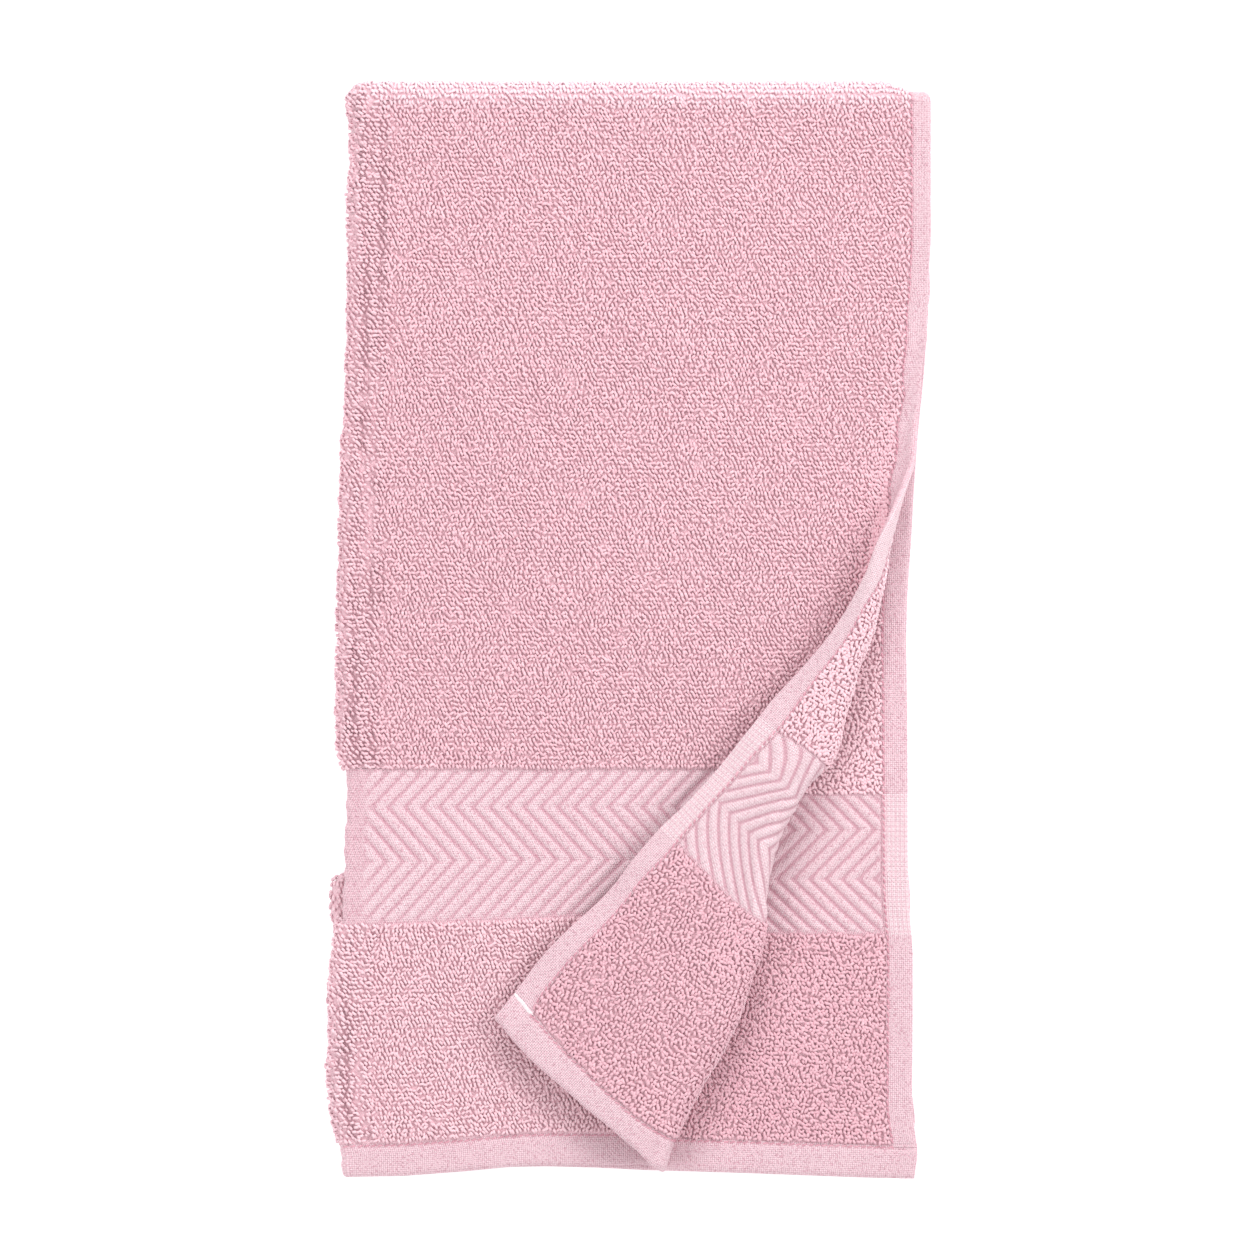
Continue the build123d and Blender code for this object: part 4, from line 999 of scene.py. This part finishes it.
def put_pile(label, where, key, a, b, side, K, sides, seed, **kw):
    """Loops, in pieces of at most 95,000 quads each. Loops in pieces small enough to
    export whole.
    """
    if not len(a):
        return
    order = np.argsort(b, kind="stable")
    a, b = a[order], b[order]
    per = int(95000 / ((K - 1) * sides))
    n = max(1, math.ceil(len(a) / per))
    for i, idx in enumerate(np.array_split(np.arange(len(a)), n)):
        rng = np.random.default_rng(seed * 100 + i)
        V, Q, T, H = pile(a[idx], b[idx], side, K, sides, rng, **kw)
        # painted highlight amount, per vertex of each loop
        pale = np.repeat(painted_loop_highlight(a[idx], b[idx], side, rng), K * sides)
        ob = put(f"{label}_{i + 1}" if n > 1 else label, V, Q, MAT_PILE, {"tone": ("FLOAT", T), "tip": ("FLOAT", H), "pale": ("FLOAT", pale)})
        seat(ob, where)
        made.setdefault(key, {}).setdefault("pile", []).append(ob)


PA, PB = ((1.27, 1.55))
QF = 1.0


def all_roots(a0, a1, front, seed, pa=PA, pb=PB, jit=0.13):
    rng = np.random.default_rng(seed)
    out = []
    for t0, t1 in ((T_HEM + 0.3, T_B0), (T_B1, T_TOP)):
        lo, hi = sorted((t2b(t0, front), t2b(t1, front)))
        out.append(loop_roots(a0, a1, lo, hi, pa, pb, rng, jit))
    return np.concatenate([o[0] for o in out]), np.concatenate([o[1] for o in out])


def cut_terry(mask, a, b):
    return a[mask], b[mask]


R_FAT = dict(rad=0.57 * QF, fat=1.30 * QF)
R_DEEP = dict(rad=0.52 * QF, fat=1.22 * QF, base=0.42, height=1.17)
# front leaf, roll and turned corner: outer face
a, b = all_roots(-2.4, A_HEM, True, 11)
g, d = group(a, b)
put_pile("front_leaf_pile", "front_half", FRONT, *cut_terry(g == FRONT, a, b), 1, 6, 4, 21, **R_FAT)
put_pile("corner_roll_outer_pile", "roll", ROLL, *cut_terry(g == ROLL, a, b), 1, 6, 5, 22, **R_FAT)
put_pile("turned_corner_under_pile", "turned_corner", FLAP, *cut_terry(g == FLAP, a, b), 1, 5, 4, 23, **R_FAT)
# turned corner: the face that is up now
a, b = all_roots(60.0, A_HEM, True, 12, PA * 0.93, PB * 0.92, jit=0.20)
g, d = group(a, b)
put_pile("corner_roll_inner_pile", "roll", ROLL, *cut_terry((g == ROLL) & (d > 3), a, b), -1, 6, 5, 24, **R_DEEP)
put_pile("turned_corner_pile", "turned_corner", FLAP, *cut_terry(g == FLAP, a, b), -1, 6, 5, 25, **R_DEEP)
# second leaf: what the turned corner uncovers
a, b = all_roots(-A_HEM, -100.0, True, 13, PA * 0.93, PB * 0.92, jit=0.20)
x, y, z = flat_plan(a, b)
put_pile("second_leaf_pile", "front_half", FRONT, *cut_terry((plan_d(x, y) > -16) & (y < 72), a, b), -1, 6, 5, 26, **R_DEEP)
# faces that meet inside, seen when the towel is opened
a, b = all_roots(-A_HEM, -2.4, True, 14, PA * 1.15, PB * 1.15)
put_pile("second_leaf_under_pile", "front_half", FRONT, a, b, 1, 5, 3, 27, base=0.78, height=0.60, hmax=0.68, rad=0.76 * QF, fat=QF * 1.2)
a, b = all_roots(-A_HEM, -2.4, False, 15, PA * 1.15, PB * 1.15)
put_pile("inner_leaf_pile", "back_half", BACK, a, b, 1, 5, 3, 28, base=0.78, height=0.60, hmax=0.68, rad=0.76 * QF, fat=QF * 1.2)
# underside of the back leaf and its fold
a, b = all_roots(-2.4, A_HEM, False, 16, PA * 1.22, PB * 1.22)
put_pile("back_leaf_pile", "back_half", BACK, a, b, 1, 5, 3, 29, base=0.78, height=0.60, hmax=0.70, rad=0.80 * QF, fat=QF * 1.25)
# crosswise folds
rng = np.random.default_rng(17)
a, b = loop_roots(-FH, A_HEM, -BQ, BQ, PA * 0.98, PB * 0.86, rng)
put_pile("crosswise_fold_outer_pile", "outer", (ARC, "outer"), a, b, 1, 5, 4, 30, **R_FAT)


def fold_pile(seed, K=6, sides=4):
    """Loops on the inside of the crosswise fold. They are set out as they lie on the opened fold and
    then brought back to the shut one."""
    rng = np.random.default_rng(seed)
    z0, z1 = BLEND_Z["inner"]
    py, pz, full = 191.45, ZC, math.radians(174.0)

    def turn(z):
        t = np.clip((z - z0) / (z1 - z0), 0, 1)
        return t * t * (3 - 2 * t) * full

    fine = np.linspace(-BQ, BQ, 1201)
    P = M0(np.full(len(fine), -100.0), fine)
    ps = np.arctan2(P[:, 2] - pz, -(P[:, 1] - py)) + turn(P[:, 2])
    rr = np.hypot(P[:, 2] - pz, P[:, 1] - py)
    ly, lz = -rr * np.cos(ps), rr * np.sin(ps)
    S = np.concatenate([[0], np.cumsum(np.hypot(np.diff(ly), np.diff(lz)))])
    rows = (np.arange(round(S[-1] / (PB * 0.9))) + 0.5) / round(S[-1] / (PB * 0.9)) * S[-1]
    cols = np.arange(-A_HEM + 0.7, -FH - 0.4, PA)
    ga, gs = np.meshgrid(cols, rows, indexing="ij")
    ga = (ga + (np.arange(len(rows)) % 2)[None] * PA * 0.5 + rng.normal(0, 0.13 * PA, ga.shape)).ravel()
    gs = (gs + rng.normal(0, 0.13 * PB, gs.shape)).ravel()
    ok = (ga > -A_HEM + 0.3) & (ga < -FH - 0.2) & (gs > 0) & (gs < S[-1])
    ga, gs = ga[ok], gs[ok]
    gb = np.interp(gs, S, fine)
    n = len(ga)
    P, Ta, Tb, N = frames(ga, gb)
    th = PI / 2 - 0.75 * np.where(rng.random(n) < 0.8, 1.0, -1.0) + rng.normal(0, 0.2, n)
    tau = np.linspace(0, 1, K)
    up = np.sin(PI * tau) ** 0.5
    al = -np.cos(PI * tau)
    h = 0.74 * (1 + rng.normal(0, 0.08, n))
    span = 0.80 * QF * (1 + rng.normal(0, 0.12, n))
    # offsets on the opened fold: u across the towel, v round the fold, w away from its axis
    pu = np.cos(th)[:, None] * al[None] * span[:, None] * (0.72 + 0.45 * up[None]) + rng.normal(0, 0.15, n)[:, None] * up[None]
    pv = np.sin(th)[:, None] * al[None] * span[:, None] * (0.72 + 0.45 * up[None]) + rng.normal(0, 0.15, n)[:, None] * up[None]
    pw = 0.80 + up[None] * h[:, None]
    g = np.stack([-np.sin(th), np.cos(th), 0 * th], -1)
    r1 = 0.58 * QF * (1 + rng.normal(0, 0.09, n))[:, None] * (0.80 + 0.26 * up[None])
    V, Q, T, H = tubes(np.stack([pu, pv, pw], -1), np.clip(0.5 + rng.normal(0, 0.2, n), 0, 1), np.broadcast_to(np.clip(up[None] * 1.15 - 0.10, 0, 1), (n, K)).copy(), g, np.stack([r1, r1 * 0.72], -1), sides)
    who = np.repeat(np.arange(n), K * sides)
    psi = np.arctan2(P[:, 2] - pz, -(P[:, 1] - py)) + turn(P[:, 2])
    rho = np.hypot(P[:, 2] - pz, P[:, 1] - py)
    goal = psi[who] + V[:, 1] / (rho[who] + 1.0)
    rad = rho[who] + V[:, 2]
    lo, hi = np.full(len(V), -1.0), np.full(len(V), 1.0)
    for _ in range(34):
        mid = (lo + hi) / 2
        over = np.arcsin(mid) + turn(pz + rad * mid) > goal
        hi, lo = np.where(over, mid, hi), np.where(over, lo, mid)
    s_ = (lo + hi) / 2
    W = np.c_[P[who, 0] + V[:, 0], py - rad * np.sqrt(1 - s_ ** 2), pz + rad * s_]
    ob = put("crosswise_fold_inner_pile", W, Q, MAT_PILE, {"tone": ("FLOAT", T), "tip": ("FLOAT", H)})
    seat(ob, "inner")
    made.setdefault((ARC, "inner"), {}).setdefault("pile", []).append(ob)


fold_pile(31)


# ------------------------------------------------------------------ stitches and hem corners
def stitch_run(pa, pb, face, off, pitch, rng, slant=0.34, r=0.30, lift=0.22):
    """Stitches centred on the parameter points, lying along the run."""
    P, Ta, Tb, N = frames(pa, pb)
    Nn = N * face
    nxt = np.roll(P, -1, axis=0)
    t = nxt - P
    t[-1] = t[-2] if len(t) > 1 else Tb[-1]
    t -= (t * N).sum(1, keepdims=True) * N
    t /= np.linalg.norm(t, axis=1, keepdims=True) + 1e-9
    g = np.cross(Nn, t)
    K = 6
    tau = np.linspace(-1, 1, K)
    L = pitch * 0.43
    arch = np.cos(tau * PI / 2) ** 0.5
    path = P[:, None] + Nn[:, None] * (off[:, None] - 0.35 + (0.35 + lift) * arch[None])[..., None] + t[:, None] * (tau * L)[None, :, None] + g[:, None] * (tau * slant)[None, :, None]
    rad = np.broadcast_to((r * (0.8 + 0.2 * arch))[None, :, None], (len(P), K, 2))
    tone = np.clip(0.6 + rng.normal(0, 0.2, len(P)), 0, 1)
    return tubes(path, tone, np.ones((len(P), K)), g, rad, 6)


def seam_piece(label, where, key, runs, nodes, seed):
    rng = np.random.default_rng(seed)
    Vs, Qs, Ts, off = [], [], [], 0
    for pa, pb, face, h in runs:
        if len(pa) < 3:
            continue
        V, Q, T, H = stitch_run(pa, pb, face, np.broadcast_to(np.asarray(h, float), pa.shape), 2.3, rng)
        Vs.append(V)
        Qs.append(Q + off)
        Ts.append(T)
        off += len(V)
    if not Vs:
        return
    V, Q, T = np.concatenate(Vs), np.concatenate(Qs), np.concatenate(Ts)
    ob = put(label, V, Q, MAT_THREAD, {"tone": ("FLOAT", T)})
    seat(ob, where, nodes)
    made.setdefault(key, {}).setdefault("seam", []).append(ob)


A_ST, T_ST = A_HEM + 0.75, T_HEM - 0.85


def hem_h(kind, pa, pb):
    return (side_hem_thick if kind == "side" else end_hem_thick)(pa, pb)[0]


tb_run = np.arange(T_ST, T_TOP - 0.6, 2.3)
for w, s, tag in ((BACK, 1, "back_leaf"), (BACK, -1, "inner_leaf"), (FRONT, -1, "second_leaf"), (FRONT, 1, "front_leaf"), (ROLL, 1, "corner_roll"), (FLAP, 1, "corner")):
    fr = w != BACK
    pa, pb = np.full(len(tb_run), s * A_ST), t2b(tb_run, fr)
    if s > 0 and fr:
        g, d = group(pa, pb)
        pa, pb = pa[g == w], pb[g == w]
    h = hem_h("side", pa, pb)
    name = {"corner_roll": (), "corner": ("corner_side_seam",)}.get(tag, (tag + "_side_seam",))
    seam_piece(tag + "_side_stitches", WHERE[w], w, [(pa, pb, 1, h), (pa, pb, -1, h)], name, 40 + w * 2 + (s > 0))
a_run = np.arange(-A_ST + 1.2, A_ST, 2.3)
for w, names in ((BACK, ("back_end_seam",)), (FRONT, ("front_leaf_end_seam", "second_leaf_end_seam")), (ROLL, ()), (FLAP, ("corner_end_seam",))):
    fr = w != BACK
    pa, pb = a_run.copy(), t2b(np.full(len(a_run), T_ST), fr)
    g, d = group(pa, pb)
    pa, pb = pa[g == w], pb[g == w]
    if len(pa):
        h = hem_h("end", pa, pb)
        seam_piece(NAMES[w] + "_end_stitches", WHERE[w], w, [(pa, pb, 1, h), (pa, pb, -1, h)], names, 60 + w)
for tag, s in (("outer", 1), ("inner", -1)):
    pb = np.arange(-BQ + 0.6, BQ, 2.0)
    pa = np.full(len(pb), s * A_ST)
    h = hem_h("side", pa, pb)
    seam_piece(f"crosswise_fold_{tag}_stitches", tag, (ARC, tag), [(pa, pb, 1, h), (pa, pb, -1, h)], (), 70 + s)


def hem_lip(label, where, key, s, front, mat=None, k=1.0):
    """Turned-in edge of the end hem where it crosses the side hem, on the towel's reverse."""
    us = np.linspace(0, 1, 15)
    pa = s * (A_HEM + 0.2 + (AF - A_HEM - 0.5) * us)
    pb = t2b(T_HEM - 0.3 + 0.25 * np.sin(us * 3.0), front)
    P, Ta, Tb, N = frames(pa, pb)
    h = side_hem_thick(pa, pb)[0]
    path = (P - N * (h * 0.97)[:, None])[None]
    ref = Tb.mean(0)[None]
    up = np.sin(PI * np.clip(us * 0.94 + 0.03, 0, 1)) ** 0.25
    r = np.stack([0.92 * k * up, 0.52 * k * up], -1)[None]
    V, Q, T, H = tubes(path, np.array([0.8]), np.ones((1, 15)), ref, r, 10)
    flat = np.tile(np.c_[pa, pb, 0 * pa][:, None], (1, 10, 1)).reshape(-1, 3) + np.tile(np.linspace(0, 2, 10)[None, :, None], (15, 1, 3)).reshape(-1, 3)
    ob = put(label, V, Q, mat or MAT_LIP, {"flat": ("FLOAT_VECTOR", flat)})
    seat(ob, where)
    made.setdefault(key, {}).setdefault("seam", []).append(ob)


hem_lip("turned_corner_hem_lip", "turned_corner", FLAP, 1, True)
hem_lip("second_leaf_hem_lip", "front_half", FRONT, -1, True, MAT_HEM, 0.72)
hem_lip("inner_leaf_hem_lip", "back_half", BACK, -1, False)
hem_lip("back_leaf_hem_lip", "back_half", BACK, 1, False)


def declare(key, extra=()):
    got = made.get(key, {})
    if "ground" not in got:
        return


def mesh_half_area(ob):
    me = ob.data
    n = len(me.polygons)
    ar = np.zeros(n)
    me.polygons.foreach_get("area", ar)
    return float(ar.sum() / 2)


def corner_share(which):
    aa = np.arange(FH, A_HEM, 1.0)
    tt = np.concatenate([np.arange(T_HEM, T_B0, 1.0), np.arange(T_B1, T_TOP, 1.0)])
    ga, gt = np.meshgrid(aa, tt, indexing="ij")
    g, d = group(ga.ravel(), t2b(gt.ravel(), True))
    return float((g == which).sum()) * 1e-6


AR, AFL = corner_share(ROLL), corner_share(FLAP)
declare(BACK)
declare(FRONT)
declare(FLAP)
declare(ROLL)
declare((ARC, "outer"))
declare((ARC, "inner"))

# ------------------------------------------------------------------ floor, light, camera
bpy.ops.mesh.primitive_plane_add(size=6.0, location=(0, 0, -0.0006))
floor = bpy.context.object
floor.name = "floor"
fm, fnt, fbs = new_mat("floor_pale")
fbs.inputs["Base Color"].default_value = (0.93, 0.93, 0.93, 1)
fbs.inputs["Roughness"].default_value = 0.9
fbs.inputs["Specular IOR Level"].default_value = 0.1
fbs.inputs["Emission Color"].default_value = (1, 1, 1, 1)
fbs.inputs["Emission Strength"].default_value = 0.36
floor.data.materials.append(fm)

world = bpy.data.worlds.new("studio")
bpy.context.scene.world = world
world.use_nodes = True
bg = world.node_tree.nodes["Background"]
bg.inputs[0].default_value = (1.0, 0.985, 0.985, 1)
bg.inputs[1].default_value = 0.73


def area_light(name, loc, size, energy, colour=(1, 1, 1), target=(0, 0, 0)):
    ld = bpy.data.lights.new(name, "AREA")
    ld.shape = "DISK"
    ld.size = size
    ld.energy = energy
    ld.color = colour
    ob = bpy.data.objects.new(name, ld)
    bpy.context.scene.collection.objects.link(ob)
    ob.location = loc
    v = np.array(target, float) - np.array(loc, float)
    from mathutils import Vector

    ob.rotation_euler = Vector(v).to_track_quat("-Z", "Y").to_euler()
    return ob


area_light("key", (1.22, 0.50, 1.20), 0.80, 12.8, (1.0, 0.985, 0.98))
area_light("rim", (0.10, 1.25, 0.75), 0.45, 7.0, (1.0, 0.99, 0.985), (0.0, 0.17, 0.012))
area_light("fill", (-0.98, -0.36, 1.20), 0.80, 6.6, (1.0, 0.99, 0.99))

cam = bpy.data.cameras.new("camera")
cam.sensor_width = 36.0
cam.sensor_fit = "HORIZONTAL"
DIST = 2.6
cam.lens = 36.0 * (DIST - 0.0143) / 0.4365
cam.clip_end = 20
co = bpy.data.objects.new("camera", cam)
co.location = (0, 0, DIST)
co.rotation_euler = (0, 0, 0)
bpy.context.scene.collection.objects.link(co)
bpy.context.scene.camera = co
bpy.context.scene.view_settings.view_transform = "Standard"
bpy.context.scene.view_settings.look = "None"
